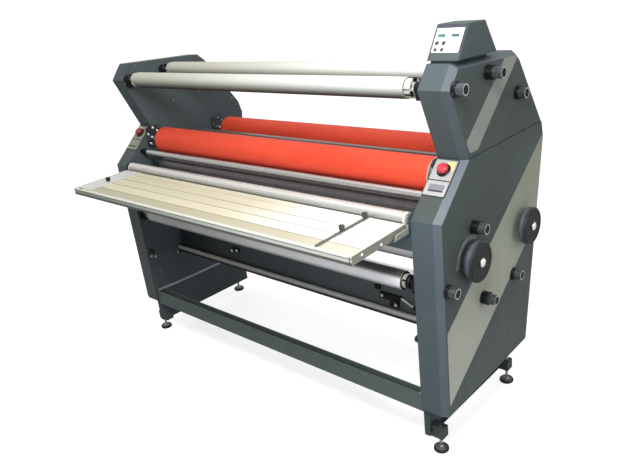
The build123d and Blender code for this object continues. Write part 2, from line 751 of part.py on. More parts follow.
EDGES = [TABLE_BACK, -54.0, -120.5, -187.0, -253.5, -309.6]
with BuildPart() as table_planks:
    for i in range(5):
        y1, y0 = EDGES[i] - 0.2, EDGES[i + 1] + 0.2
        with BuildSketch(side(-879.7)):
            with BuildLine():
                Polyline((y0, 1013), (y0, 1023.4), (y0 + 1.6, TABLE_Z), (y1 - 1.6, TABLE_Z), (y1, 1023.4),
                         (y1, 1013), close=True)
            make_face()
        extrude(amount=2 * 879.7)
save("table_planks", table_planks)

with BuildPart() as table_frame:
    for sgn in (-1, 1):
        with BuildSketch(side(sgn * 880)):
            with BuildLine():
                Polyline((TABLE_FRONT, 992), (TABLE_FRONT, TABLE_Z), (TABLE_BACK, TABLE_Z), (TABLE_BACK, 1004),
                         (-26, 992), close=True)
            make_face()
        extrude(amount=sgn * 6)
        with BuildSketch(side(sgn * 885)):
            with Locations(TABLE_PIVOT):
                Circle(6)
        extrude(amount=sgn * 13)
    with BuildSketch(side(-881)):
        with BuildLine():
            Polyline((TABLE_FRONT, 992), (TABLE_FRONT, 1021), (-320.8, 1023.8), (-318, TABLE_Z), (-310, TABLE_Z),
                     (-310, 1012.8), (-304, 1012.8), (-304, 1008), (-314, 1008), (-314, 992), close=True)
        make_face()
        with BuildLine():
            Polyline((-26, 1000), (-26, 1012.8), (-14, 1012.8), (-14, 1006), (-18, 1000), close=True)
        make_face()
    extrude(amount=2 * 881)
    with BuildSketch(flat(1000)):
        with Locations((-440, -165), (0, -165), (440, -165)):
            Rectangle(8, 290)
    extrude(amount=12.8)
save("table_frame", table_frame)

GUIDE_X = 727.0
with BuildPart() as side_guide_right:
    with BuildSketch(flat(TABLE_Z + GAP)):
        with Locations((GUIDE_X, -166)):
            RectangleRounded(12, 296, 5)
    extrude(amount=6)
    with BuildSketch(flat(TABLE_Z)):
        with Locations((GUIDE_X, -170), (GUIDE_X, -36)):
            Circle(3 + FIT)
    extrude(amount=10, mode=Mode.SUBTRACT)
save("side_guide_right", side_guide_right)

LGX = -806.0
with BuildPart() as side_guide_left:
    with BuildSketch(flat(TABLE_Z + GAP)):
        with Locations((LGX, -163)):
            RectangleRounded(116, 292, 4)
    extrude(amount=3)
    with BuildSketch(flat(TABLE_Z + GAP)):
        with Locations((LGX + 56, -163)):
            Rectangle(4, 284)
    extrude(amount=7)
    with BuildSketch(flat(TABLE_Z + GAP)):
        with Locations((LGX + 8, -290), (LGX + 40, -118)):
            Circle(5)
    extrude(amount=5.5)
    with BuildSketch(flat(TABLE_Z)):
        with Locations((LGX + 16, -182)):
            Circle(3 + FIT)
    extrude(amount=10, mode=Mode.SUBTRACT)
save("side_guide_left", side_guide_left)


def thumb_screw(x, y, z0):
    with BuildPart() as b:
        with BuildSketch(flat(z0)):
            with Locations((x, y)):
                Circle(6.5)
        extrude(amount=5)
        with BuildSketch(flat(z0 + 5)):
            with Locations((x, y)):
                Circle(11)
                with PolarLocations(12.5, 8):
                    Circle(2.6, mode=Mode.SUBTRACT)
        extrude(amount=15)
        with BuildSketch(flat(TABLE_Z + 0.6)):
            with Locations((x, y)):
                Circle(3)
        extrude(amount=z0 - TABLE_Z + 1)
    return b


save("guide_screw_front", thumb_screw(GUIDE_X, -170, TABLE_Z + GAP + 6.3))
save("guide_screw_rear", thumb_screw(GUIDE_X, -36, TABLE_Z + GAP + 6.3))
save("guide_screw_left", thumb_screw(LGX + 16, -182, TABLE_Z + GAP + 3.3))

# ---------------------------------------------------------------- levelling feet
for sgn, hand in ((1, "right"), (-1, "left")):
    for (dx, y, _), end in zip(FEET[hand], ("front", "rear")):
        x = sgn * (HALF_IN + dx)
        with BuildPart() as foot:
            with BuildSketch(Plane(origin=(CX + x, CY + y, 0), x_dir=(1, 0, 0), z_dir=(0, -1, 0))):
                with BuildLine():
                    Polyline((0, 0), (30, 0), (31.5, 2), (31.5, 9), (28.5, 13), (25, 13), (22.5, 10.5), (11, 13),
                             (9.5, 18), (6, 20), (6, 56), (8, 59), (8, 126), (0, 126), close=True)
                make_face()
            revolve(axis=Axis((CX + x, CY + y, 0), (0, 0, 1)))
        save(f"foot_{end}_{hand}", foot)

# ---------------------------------------------------------------- visible cap screws on the inner faces
SCREWS = [(172, 1536), (590, 1518), (376, 1316), (560, 1332), (198, 1256), (800, 1240), (826, 1196), (30, 700),
          (30, 560), (60, 400), (30, 300), (640, 300), (660, 560)]
with BuildPart() as cap_screws:
    for sgn in (-1, 1):
        with BuildSketch(side(sgn * (HALF_IN - 0.02))):
            with Locations(*SCREWS):
                Circle(7)
        extrude(amount=-sgn * 5)
        with BuildSketch(side(sgn * (HALF_IN - 5.5))):
            with Locations(*SCREWS):
                RegularPolygon(3.4, 6)
        extrude(amount=sgn * 3, mode=Mode.SUBTRACT)
save("cap_screws", cap_screws)
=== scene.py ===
import bpy, bmesh, math
from mathutils import Vector, Matrix


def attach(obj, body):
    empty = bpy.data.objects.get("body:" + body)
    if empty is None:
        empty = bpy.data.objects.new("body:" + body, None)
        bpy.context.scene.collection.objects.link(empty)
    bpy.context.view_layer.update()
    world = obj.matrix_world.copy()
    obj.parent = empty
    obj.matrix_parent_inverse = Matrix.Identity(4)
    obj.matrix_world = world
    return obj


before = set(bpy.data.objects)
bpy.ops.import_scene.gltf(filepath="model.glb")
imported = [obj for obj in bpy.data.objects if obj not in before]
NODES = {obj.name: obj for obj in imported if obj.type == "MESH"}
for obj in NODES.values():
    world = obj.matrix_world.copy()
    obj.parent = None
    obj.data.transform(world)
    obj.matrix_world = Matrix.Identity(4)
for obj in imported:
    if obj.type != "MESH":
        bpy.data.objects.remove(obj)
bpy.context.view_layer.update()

# machine datum in millimetres: X = 0 mid machine, Y = 0 cabinet fronts, Z = 0 floor
CX, CY = -32.0, -273.0
HALF, CASE, OUT = 900.0, 990.0, 1019.0


def P(x, y, z):
    return Vector(((x + CX) / 1000, (y + CY) / 1000, z / 1000))


def lin(r, g, b):
    def f(c):
        c /= 255.0
        return c / 12.92 if c <= 0.04045 else ((c + 0.055) / 1.055) ** 2.4
    return (f(r), f(g), f(b), 1.0)


# ------------------------------------------------------------------ camera
scene = bpy.context.scene
cam = bpy.data.cameras.new("camera")
cam.lens, cam.sensor_width = 37.21, 36.0
cam.clip_start, cam.clip_end = 0.05, 60.0
cam_ob = bpy.data.objects.new("camera", cam)
scene.collection.objects.link(cam_ob)
R = Vector((0.7415, 0.6611, -0.1143)).normalized()
U = Vector((-0.1715, 0.3514, 0.9204))
U = (U - R * U.dot(R)).normalized()
F = U.cross(R)
cam_ob.matrix_world = Matrix(((R.x, U.x, -F.x, 2.081), (R.y, U.y, -F.y, -2.021), (R.z, U.z, -F.z, 1.885), (0, 0, 0, 1)))
scene.camera = cam_ob

scene.view_settings.view_transform = "Standard"
scene.view_settings.look = "None"


# ------------------------------------------------------------------ node material kit
class Mat:
    """A Principled material with small helpers for procedural detail in row-frame metres."""

    def __init__(self, name, base, rough=0.5, metal=0.0, **sockets):
        self.m = bpy.data.materials.new(name)
        self.m.use_nodes = True
        self.nt = self.m.node_tree
        self.nt.nodes.clear()
        self.out = self.nt.nodes.new("ShaderNodeOutputMaterial")
        self.b = self.nt.nodes.new("ShaderNodeBsdfPrincipled")
        self.nt.links.new(self.b.outputs[0], self.out.inputs[0])
        self.base = base
        self.b.inputs["Base Color"].default_value = base
        self.b.inputs["Roughness"].default_value = rough
        self.b.inputs["Metallic"].default_value = metal
        for k, v in sockets.items():
            self.b.inputs[k.replace("_", " ")].default_value = v
        self.m.diffuse_color = base
        self.coord = self.nt.nodes.new("ShaderNodeTexCoord").outputs["Object"]
        self.normal = None

    def n(self, kind, **props):
        d = self.nt.nodes.new("ShaderNode" + kind)
        for k, v in props.items():
            setattr(d, k, v)
        return d

    def link(self, a, b):
        self.nt.links.new(a, b)

    def put(self, sock, v):
        if isinstance(v, bpy.types.NodeSocket):
            self.link(v, sock)
        else:
            sock.default_value = v

    def math(self, op, a, b=0.0, clamp=False):
        d = self.n("Math", operation=op, use_clamp=clamp)
        self.put(d.inputs[0], a)
        self.put(d.inputs[1], b)
        return d.outputs[0]

    def mapped(self, scale=(1, 1, 1), rot=(0, 0, 0), loc=(0, 0, 0)):
        d = self.n("Mapping")
        self.link(self.coord, d.inputs[0])
        d.inputs["Location"].default_value = loc
        d.inputs["Rotation"].default_value = rot
        d.inputs["Scale"].default_value = scale
        return d.outputs[0]

    def noise(self, scale, detail=3.0, rough=0.55, vec=None, dist=0.0):
        d = self.n("TexNoise")
        self.link(vec or self.coord, d.inputs["Vector"])
        d.inputs["Scale"].default_value = scale
        d.inputs["Detail"].default_value = detail
        d.inputs["Roughness"].default_value = rough
        d.inputs["Distortion"].default_value = dist
        return d.outputs["Fac"]

    def voronoi(self, scale, vec=None, feature="F1"):
        d = self.n("TexVoronoi", feature=feature)
        self.link(vec or self.coord, d.inputs["Vector"])
        d.inputs["Scale"].default_value = scale
        return d.outputs["Distance"]

    def ramp(self, fac, lo, hi, a=0.0, b=1.0, smooth=False):
        d = self.n("MapRange", clamp=True)
        if smooth:
            d.interpolation_type = "SMOOTHSTEP"
        self.put(d.inputs["Value"], fac)
        d.inputs["From Min"].default_value = lo
        d.inputs["From Max"].default_value = hi
        d.inputs["To Min"].default_value = a
        d.inputs["To Max"].default_value = b
        return d.outputs["Result"]

    def mix(self, fac, a, b, blend="MIX"):
        d = self.n("Mix", data_type="RGBA", blend_type=blend)
        self.put(d.inputs["Factor"], fac)
        self.put(d.inputs["A"], a)
        self.put(d.inputs["B"], b)
        return [o for o in d.outputs if o.type == "RGBA"][0]

    def axis(self, which):
        d = self.n("SeparateXYZ")
        self.link(self.coord, d.inputs[0])
        return d.outputs[which]

    def bump(self, height, strength=0.2, distance=0.001):
        d = self.n("Bump")
        d.inputs["Strength"].default_value = strength
        d.inputs["Distance"].default_value = distance
        self.link(height, d.inputs["Height"])
        if self.normal is not None:
            self.link(self.normal, d.inputs["Normal"])
        self.normal = d.outputs[0]
        self.link(self.normal, self.b.inputs["Normal"])
        return d

    def edges(self, radius=0.0015):
        """1 along convex and concave edges, 0 on faces."""
        bev = self.n("Bevel", samples=4)
        bev.inputs["Radius"].default_value = radius
        geo = self.n("NewGeometry")
        dot = self.n("VectorMath", operation="DOT_PRODUCT")
        self.link(bev.outputs[0], dot.inputs[0])
        self.link(geo.outputs["Normal"], dot.inputs[1])
        return self.ramp(dot.outputs["Value"], 0.995, 0.90, 0.0, 1.0)

    def color(self, c):
        self.put(self.b.inputs["Base Color"], c)

    def rough(self, r):
        self.put(self.b.inputs["Roughness"], r)

    def poly_mask(self, pts, soft=0.0006):
        """1 inside a convex anticlockwise polygon given as (y, z) in machine mm."""
        area = sum(pts[i][0] * pts[(i + 1) % len(pts)][1] - pts[(i + 1) % len(pts)][0] * pts[i][1] for i in range(len(pts)))
        if area < 0:
            pts = pts[::-1]
        acc = None
        for i in range(len(pts)):
            (y0, z0), (y1, z1) = pts[i], pts[(i + 1) % len(pts)]
            y0, y1 = (y0 + CY) / 1000, (y1 + CY) / 1000
            z0, z1 = z0 / 1000, z1 / 1000
            L = math.hypot(y1 - y0, z1 - z0)
            a, b = -(z1 - z0) / L, (y1 - y0) / L
            dot = self.n("VectorMath", operation="DOT_PRODUCT")
            self.link(self.coord, dot.inputs[0])
            dot.inputs[1].default_value = (0, a, b)
            d = self.math("ADD", dot.outputs["Value"], -(a * y0 + b * z0))
            acc = d if acc is None else self.math("MINIMUM", acc, d)
        return self.ramp(acc, -soft, soft)


def dim(c, k):
    return (c[0] * k, c[1] * k, c[2] * k, 1.0)


def powder(name, base, rough=0.46, grain=0.10, edge=0.35, finish=None, spec=0.30):
    """Satin powder coat: orange-peel grain, faint mottling, lighter edges that are part wear and part painted
    highlight.
    """
    m = Mat(name, base, rough, Specular_IOR_Level=spec)
    big = m.noise(3.1, 4.0)
    cloud = m.mix(m.ramp(big, 0.3, 0.7), dim(base, 0.90), dim(base, 1.08))
    fine = m.noise(420.0, 2.0)
    cloud = m.mix(m.ramp(fine, 0.35, 0.65, 0.0, 0.35), cloud, dim(base, 1.22))
    smear = m.noise(11.0, 5.0, 0.65, m.mapped((1.0, 1.0, 0.35)))
    cloud = m.mix(m.ramp(smear, 0.52, 0.78, 0.0, 0.22), cloud, dim(base, 1.35))
    # lighter edges: part edge wear, part painted highlight along the edges
    e = m.math("MULTIPLY", m.edges(), m.ramp(m.noise(60.0, 3.0), 0.35, 0.65, 0.35, 1.0))
    col = m.mix(m.math("MULTIPLY", e, edge), cloud, tuple(min(1, v * 2.3 + 0.03) for v in base[:3]) + (1.0,))
    if finish:
        col = finish(m, col)
    m.color(col)
    m.rough(m.ramp(m.noise(24.0, 4.0), 0.3, 0.7, rough - 0.05, rough + 0.07))
    m.bump(fine, grain, 0.0005)
    m.bump(m.noise(95.0, 2.0), grain * 0.5, 0.0008)
    return m.m


def metal(name, base, rough=0.3, grain=(3.0, 520.0, 520.0), streak=0.16, bump=0.06, dirt=0.0, metallic=1.0, ends=None, under=None, spec=0.5, cut=None):
    """Ground or brushed metal with streaks along the long direction of grain; ends = (left, right) tones along X,
    painted light, under = (colour, lo, hi) painted shade on the underside by world normal z; cut = (x, colour) painted
    shadow below x."""
    m = Mat(name, base, rough, metallic, Specular_IOR_Level=spec)
    s = m.noise(1.0, 3.0, 0.6, m.mapped(grain))
    wide = m.noise(5.0, 3.0)
    col = m.mix(m.ramp(s, 0.3, 0.7), dim(base, 1 - streak), dim(base, 1 + streak * 0.6))
    col = m.mix(m.ramp(wide, 0.45, 0.8, 0.0, 0.25), col, dim(base, 0.82))
    # painted light: tone ramp along X
    if ends:
        tone = m.mix(m.ramp(m.axis("X"), -0.75, 0.75, 0.0, 1.0, True), ends[0], ends[1])
        col = m.mix(1.0, col, tone, "MULTIPLY")
    # painted shade on the underside, by world normal z
    if under:
        d = m.n("SeparateXYZ")
        m.link(m.n("NewGeometry").outputs["Normal"], d.inputs[0])
        col = m.mix(m.ramp(d.outputs[2], under[1], under[2], 1.0, 0.0, True), col, under[0])
    # painted shadow on the end below x
    if cut:
        col = m.mix(m.ramp(m.axis("X"), cut[0] + 0.004, cut[0] - 0.004), col, cut[1])
    if dirt:
        col = m.mix(m.ramp(m.noise(14.0, 5.0, 0.7), 0.5, 0.75, 0.0, dirt), col, (0.10, 0.095, 0.085, 1))
    m.color(col)
    m.rough(m.math("ADD", m.ramp(s, 0.25, 0.75, rough - 0.06, rough + 0.07), m.ramp(wide, 0.3, 0.8, 0.0, 0.06)))
    m.bump(s, bump, 0.0003)
    return m.m


def plastic(name, base, rough=0.4, grain=0.05, scale=700.0, var=0.10, edge=0.2, **k):
    m = Mat(name, base, rough, 0.0, **k)
    v = m.noise(22.0, 4.0)
    col = m.mix(m.ramp(v, 0.3, 0.7), dim(base, 1 - var), dim(base, 1 + var))
    # lighter edges: part wear, part painted highlight
    e = m.math("MULTIPLY", m.edges(0.001), edge)
    col = m.mix(e, col, tuple(min(1, c * 1.9 + 0.03) for c in base[:3]) + (1.0,))
    m.color(col)
    m.rough(m.ramp(m.noise(55.0, 4.0), 0.3, 0.7, max(0.04, rough - 0.05), rough + 0.07))
    m.bump(m.noise(scale, 2.0), grain, 0.0003)
    return m.m


# ------------------------------------------------------------------ materials
HEAD_STRIPE = [(198, 1280), (203, 1262), (213, 1243), (226, 1232), (252, 1232), (276, 1232), (660, 1566), (543, 1566)]
LOW_STRIPE = [(24, 594), (24, 262), (33, 256), (262, 415), (665, 694), (760, 757), (880, 838), (880, 1185)]


SEAM_BAND = [(190, 1210.6), (856, 1203.6), (856, 1209.4), (190, 1216.4)]


def stripes_and_painted_light(m, col):
    # painted light: the stripe grey is lighter towards the floor and more neutral on the head
    grey = m.mix(m.ramp(m.axis("Z"), 0.30, 1.00), lin(177, 179, 169), lin(142, 147, 131))
    grey = m.mix(m.ramp(m.axis("Z"), 1.05, 1.24), grey, lin(134, 136, 130))
    w = m.noise(7.0, 4.0)
    k = m.mix(m.ramp(w, 0.3, 0.7), (0.90, 0.90, 0.90, 1), (1.0, 1.0, 1.0, 1))
    k = m.mix(1.0, grey, k, "MULTIPLY")
    k = m.mix(m.ramp(m.noise(420.0, 2.0), 0.35, 0.65, 0.0, 0.20), k, lin(168, 171, 160))
    mask = m.math("MAXIMUM", m.poly_mask(HEAD_STRIPE), m.poly_mask(LOW_STRIPE))
    x = m.math("ABSOLUTE", m.math("ADD", m.axis("X"), -CX / 1000))
    mask = m.math("MULTIPLY", mask, m.ramp(x, 0.9885, 0.9895))
    # painted light: the side is paler towards the floor and the rear
    z, y = m.axis("Z"), m.axis("Y")
    low = m.ramp(z, 0.72, 0.28, 0.0, 1.0, True)
    rear = m.math("MULTIPLY", m.ramp(y, 0.10, 0.46, 0.0, 0.9, True), m.ramp(z, 1.22, 1.12))
    pale = m.math("MULTIPLY", m.math("MAXIMUM", low, rear), m.ramp(x, 0.985, 0.989))
    col = m.mix(m.math("MULTIPLY", pale, 0.9), col, m.mix(1.0, col, (1.32, 1.32, 1.30, 1), "MULTIPLY"))
    col = m.mix(mask, col, k)
    return m.mix(m.poly_mask(SEAM_BAND, 0.0012), col, lin(34, 39, 38))


case_base = lin(67, 76, 74)
M_CASE = powder("case_paint", case_base, 0.47, finish=stripes_and_painted_light)
# painted light: lit and shaded copies of the case paint for front, bevel and slant faces, bluer and lighter on fronts
# and bevels
M_CASE_FRONT_PAINTED_LIGHT = powder("case_paint_front", lin(76, 87, 92), 0.46)
M_CASE_BEVEL_PAINTED_LIGHT = powder("case_paint_bevel", lin(84, 93, 100), 0.44, edge=0.5)
M_CASE_SLANT_PAINTED_LIGHT = powder("case_paint_slant", lin(64, 70, 70), 0.46)
M_HEAD_FRONT_PAINTED_LIGHT = powder("head_paint_front", lin(67, 77, 80), 0.46)
M_HEAD_BEVEL_PAINTED_LIGHT = powder("head_paint_bevel", lin(72, 82, 87), 0.44, edge=0.5)
M_LEFT_FRONT_PAINTED_LIGHT = powder("case_paint_front_left", lin(76, 84, 85), 0.46)
M_LEFT_SLANT_PAINTED_LIGHT = powder("case_paint_slant_left", lin(70, 78, 76), 0.46)
M_BOX = powder("box_paint", lin(66, 76, 76), 0.46)
M_BOXTRIM = powder("box_trim", lin(62, 64, 74), 0.44, spec=0.22)
M_PLATE = powder("plate_paint", lin(75, 84, 86), 0.42, 0.10, 0.25, spec=0.18)
M_BEAM = powder("beam_paint", lin(85, 97, 95), 0.45)


def bracket():
    def shade(m, col):
        x, y, z = m.axis("X"), m.axis("Y"), m.axis("Z")
        k = m.math("MULTIPLY", m.ramp(z, 0.9915, 0.9925), m.ramp(y, (-11.5 + CY) / 1000, (-12.5 + CY) / 1000))
        return m.mix(m.math("MULTIPLY", k, m.ramp(x, 0.0, 0.1)), col, lin(132, 136, 128))
    return powder("bracket_paint", lin(56, 66, 73), 0.45, edge=0.08, finish=shade, spec=0.22)


M_BRACKET = bracket()
M_LEG = powder("leg_paint", lin(62, 72, 70), 0.45, spec=0.25)


def apron():
    def shade(m, col):
        # painted shade: the apron darker and bluer towards the right end
        t = m.mix(m.ramp(m.axis("X"), 0.30, 0.80, 0.0, 1.0, True), lin(255, 255, 255), lin(168, 190, 200))
        return m.mix(1.0, col, t, "MULTIPLY")
    return powder("apron_paint", lin(150, 153, 150), 0.40, finish=shade, spec=0.3)


M_APRON = apron()


def guard():
    m_base = lin(92, 98, 100)
    def shade(m, col):
        # painted shade: the guard darker towards the left end
        t = m.mix(m.ramp(m.axis("X"), -0.75, 0.55, 0.0, 1.0), lin(126, 129, 134), lin(255, 255, 255))
        return m.mix(1.0, col, t, "MULTIPLY")
    return powder("guard_paint", m_base, 0.45, finish=shade, spec=0.22)


M_GUARD = guard()
M_BLACKMETAL = powder("holder_black", lin(20, 22, 24), 0.40, 0.06, 0.35, spec=0.2)
# film tubes: painted shade on the underside (tinted cyan against the red bounce) and painted light, darker and yellower
# to the left
TUBE_SHADE = (lin(16, 40, 41), -0.98, 0.56)
LOW_SHADE = (lin(116, 119, 116), -0.90, 0.25)
M_TUBE = metal("tube_aluminium", lin(215, 215, 212), 0.40, (4.0, 380.0, 380.0), 0.05, 0.04, metallic=0.12, ends=(lin(219, 219, 206), (1, 1, 1, 1)), under=TUBE_SHADE, spec=0.12)


def low_tube(name="film_roller_aluminium", shaded=1.0, lit=0.17):
    """Film roller under the table: painted shade above (the table top's shadow), painted light from the right (a tone
    ramp along X and a weak emission glow), painted shade underneath.
    """
    m = Mat(name, lin(240, 240, 238), 0.34, 0.10)
    st = m.noise(1.0, 3.0, 0.6, m.mapped((4.0, 380.0, 380.0)))
    wide = m.noise(5.0, 3.0)
    col = m.mix(m.ramp(st, 0.3, 0.7), lin(226, 226, 230), lin(248, 248, 250))
    col = m.mix(m.ramp(wide, 0.45, 0.8, 0.0, 0.25), col, lin(214, 214, 214))
    # painted light: darker towards the left
    tone = m.mix(m.ramp(m.axis("X"), -0.75, 0.75, 0.0, 1.0, True), lin(200, 202, 196), (1.0, 1.0, 1.0, 1))
    col = m.mix(1.0, col, tone, "MULTIPLY")
    d = m.n("SeparateXYZ")
    m.link(m.n("NewGeometry").outputs["Normal"], d.inputs[0])
    nz = d.outputs[2]
    # painted shade on top, where the table's shadow falls, and underneath
    top = m.ramp(nz, 0.42, 0.78, 0.0, shaded, True)
    col = m.mix(top, col, lin(92, 94, 97))
    col = m.mix(m.ramp(nz, -0.90, 0.0, 1.0, 0.0, True), col, lin(104, 107, 105))
    m.color(col)
    m.rough(m.math("ADD", m.ramp(st, 0.25, 0.75, 0.28, 0.41), m.ramp(wide, 0.3, 0.8, 0.0, 0.06)))
    m.bump(st, 0.04, 0.0003)
    # painted light: weak white emission, stronger to the right, so the roller glows though no lamp is there
    painted_light_glow = m.math("MULTIPLY", m.ramp(m.axis("X"), -0.6, 0.8, 0.02, lit, True), m.ramp(nz, -0.8, 0.1, 0.0, 1.0, True))
    painted_light_glow = m.math("MULTIPLY", painted_light_glow, m.math("SUBTRACT", 1.0, top))
    m.b.inputs["Emission Color"].default_value = (0.98, 0.98, 1.0, 1)
    m.put(m.b.inputs["Emission Strength"], painted_light_glow)
    return m.m


M_LOWTUBE = low_tube()
M_LOWTUBE2 = low_tube("film_roller_rear", 0.0, 0.20)
# painted shade on the underside of the idler
M_IDLER = metal("idler_aluminium", lin(222, 221, 216), 0.26, (4.0, 420.0, 420.0), 0.10, 0.05, metallic=0.55, under=(lin(112, 114, 112), -0.65, 0.98))
M_STEEL = metal("turned_steel", lin(190, 190, 186), 0.28, (260.0, 8.0, 8.0), 0.14, 0.06, 0.15)
# painted light: lighter to the right; dark painted shade on the lower half
M_TIEBAR = metal("tie_bar", lin(242, 244, 236), 0.42, (3.0, 300.0, 300.0), 0.10, 0.03, 0.1, metallic=0.15, ends=(lin(205, 205, 200), (1, 1, 1, 1)), under=(lin(20, 21, 20), -0.05, 0.90))
# painted shadow: the left end of the bar, below x = -0.878 m, is dark
M_NIPBAR = metal("nip_bar", lin(210, 210, 208), 0.24, (3.0, 300.0, 300.0), 0.08, 0.03, metallic=0.85, cut=(-0.878, lin(40, 42, 44)))
# painted light: darker towards the right; painted shade underneath
M_EXITBAR = metal("exit_bar", lin(176, 164, 160), 0.28, (3.0, 300.0, 300.0), 0.10, 0.03, metallic=0.8, ends=((1, 1, 1, 1), lin(190, 192, 196)), under=(lin(60, 60, 60), -0.6, 0.3))
M_CAST = metal("bearing_cast", lin(92, 96, 100), 0.45, (60.0, 60.0, 60.0), 0.20, 0.20, 0.25)
M_ZINC = metal("screw_zinc", lin(205, 204, 200), 0.26, (200.0, 200.0, 200.0), 0.12, 0.05)
M_CHAIN = metal("chain_steel", lin(120, 118, 112), 0.36, (120.0, 120.0, 120.0), 0.3, 0.2, 0.4)
M_MOTOR = powder("motor_paint", lin(120, 126, 130), 0.5)
M_KNOBBLACK = plastic("knob_black", lin(16, 19, 21), 0.26, Specular_IOR_Level=0.4)
M_KNURL = metal("knob_knurled", lin(104, 110, 112), 0.30, (240.0, 60.0, 60.0), 0.42, 0.20, 0.25, metallic=0.8)
M_KNOBNECK = plastic("knob_neck", lin(20, 25, 28), 0.24, Specular_IOR_Level=0.5)
M_SILVER = metal("silver_face", lin(214, 216, 216), 0.26, (80.0, 260.0, 260.0), 0.10, 0.04)
M_RINGGREY = metal("ring_grey", lin(190, 195, 194), 0.30, (80.0, 260.0, 260.0), 0.14, 0.05, 0.15, metallic=0.5)
M_WHEEL = plastic("wheel_black", lin(31, 35, 31), 0.34, 0.03, 500.0, 0.12, 0.3, Specular_IOR_Level=0.3)


def wheel_rim():
    m = Mat("wheel_rim", lin(60, 66, 66), 0.32, 0.0, Specular_IOR_Level=0.4, Coat_Weight=0.15, Coat_Roughness=0.3)
    x = m.math("ADD", m.axis("X"), -(CX + OUT) / 1000)
    v = m.noise(40.0, 3.0)
    col = m.mix(m.ramp(v, 0.3, 0.7), lin(36, 40, 41), lin(44, 48, 50))
    # painted highlight: a lighter band round the middle of the rounded rim
    painted_rim_highlight = m.math("MULTIPLY", m.ramp(x, 0.022, 0.032), m.ramp(x, 0.046, 0.038))
    col = m.mix(painted_rim_highlight, col, lin(80, 84, 92))
    # lighter edges: painted highlight
    col = m.mix(m.math("MULTIPLY", m.edges(0.002), 0.5), col, lin(92, 98, 98))
    m.color(col)
    m.rough(m.ramp(v, 0.3, 0.7, 0.26, 0.38))
    m.bump(m.noise(500.0, 2.0), 0.03, 0.0003)
    return m.m


M_WHEELRIM = wheel_rim()
M_SCREWGREY = metal("screw_grey", lin(150, 152, 150), 0.36, (200.0, 200.0, 200.0), 0.16, 0.05, 0.2)
M_RUBBER = plastic("black_rubber", lin(24, 24, 26), 0.62, 0.15, 300.0, 0.15, 0.1)
M_PADTOP = metal("pad_top", lin(108, 110, 110), 0.44, (60.0, 60.0, 60.0), 0.25, 0.08, 0.3, metallic=0.6)
M_GUIDEDARK = metal("guide_dark", lin(116, 118, 116), 0.38, (300.0, 4.0, 300.0), 0.14, 0.06, metallic=0.6)
M_THUMB = plastic("thumb_grey", lin(52, 55, 57), 0.34, 0.06, 500.0, 0.16, 0.35)
M_GUIDELIGHT = metal("guide_light", lin(206, 206, 202), 0.36, (5.0, 300.0, 300.0), 0.10, 0.05, metallic=0.2)


def rail():
    """Extruded table frame: painted highlight on the top lip over a thin dark groove (painted shade), dull grey faces
    with the front painted lighter to the right and darker along its bottom, up-facing faces painted lighter, lighter
    edges (part wear, part painted highlight).
    """
    m = Mat("table_aluminium", lin(150, 151, 140), 0.42, 0.35, Specular_IOR_Level=0.3)
    s = m.noise(1.0, 3.0, 0.6, m.mapped((3.0, 360.0, 360.0)))
    col = m.mix(m.ramp(s, 0.3, 0.7), lin(132, 134, 124), lin(156, 158, 147))
    col = m.mix(m.ramp(m.noise(7.0, 4.0, 0.6), 0.45, 0.75, 0.0, 0.4), col, lin(118, 120, 108))
    z, y = m.axis("Z"), m.axis("Y")
    front = m.ramp(y, (-318.6 + CY) / 1000, (-319.4 + CY) / 1000)
    lip = m.math("MULTIPLY", front, m.ramp(z, 1.0182, 1.0190))
    groove = m.math("MULTIPLY", front, m.math("MULTIPLY", m.ramp(z, 1.0152, 1.0158), m.ramp(z, 1.0188, 1.0182)))
    # painted light: the front face lighter towards the right, darker along its bottom
    lit = m.mix(m.ramp(m.axis("X"), -0.75, 0.45, 0.0, 1.0, True), lin(164, 166, 155), lin(212, 214, 208))
    col = m.mix(m.math("MULTIPLY", front, m.ramp(z, 1.0025, 1.004)), col, lit)
    col = m.mix(m.math("MULTIPLY", front, m.ramp(z, 1.004, 1.0025)), col, lin(104, 106, 100))
    # painted highlight on the top lip, painted shade in the groove
    col = m.mix(lip, col, lin(232, 232, 220))
    col = m.mix(groove, col, lin(96, 98, 92))
    x = m.math("ABSOLUTE", m.math("ADD", m.axis("X"), -CX / 1000))
    split = m.math("MULTIPLY", front, m.math("MULTIPLY", m.ramp(x, 0.8766, 0.8772), m.ramp(x, 0.8806, 0.8800)))
    col = m.mix(split, col, lin(58, 60, 56))
    # painted light: up-facing faces lighter
    top = m.n("NewGeometry").outputs["Normal"]
    d = m.n("SeparateXYZ")
    m.link(top, d.inputs[0])
    col = m.mix(m.ramp(d.outputs[2], 0.6, 0.9, 0.0, 0.85), col, lin(222, 222, 212))
    # lighter edges: part wear, part painted highlight
    e = m.math("MULTIPLY", m.edges(0.0009), 0.45)
    col = m.mix(e, col, lin(196, 198, 190))
    m.color(col)
    m.rough(m.ramp(s, 0.25, 0.75, 0.36, 0.50))
    m.bump(s, 0.06, 0.0003)
    return m.m


M_FRAMEAL = rail()
M_PLATESILVER = metal("switch_silver", lin(176, 175, 174), 0.38, (300.0, 20.0, 20.0), 0.10, 0.05, metallic=0.4)
M_PLATEDULL = metal("switch_dull", lin(142, 143, 128), 0.42, (300.0, 20.0, 20.0), 0.12, 0.05, metallic=0.2)
M_JOG = plastic("jog_bar", lin(118, 116, 122), 0.40, 0.05, 400.0, 0.08, 0.3)


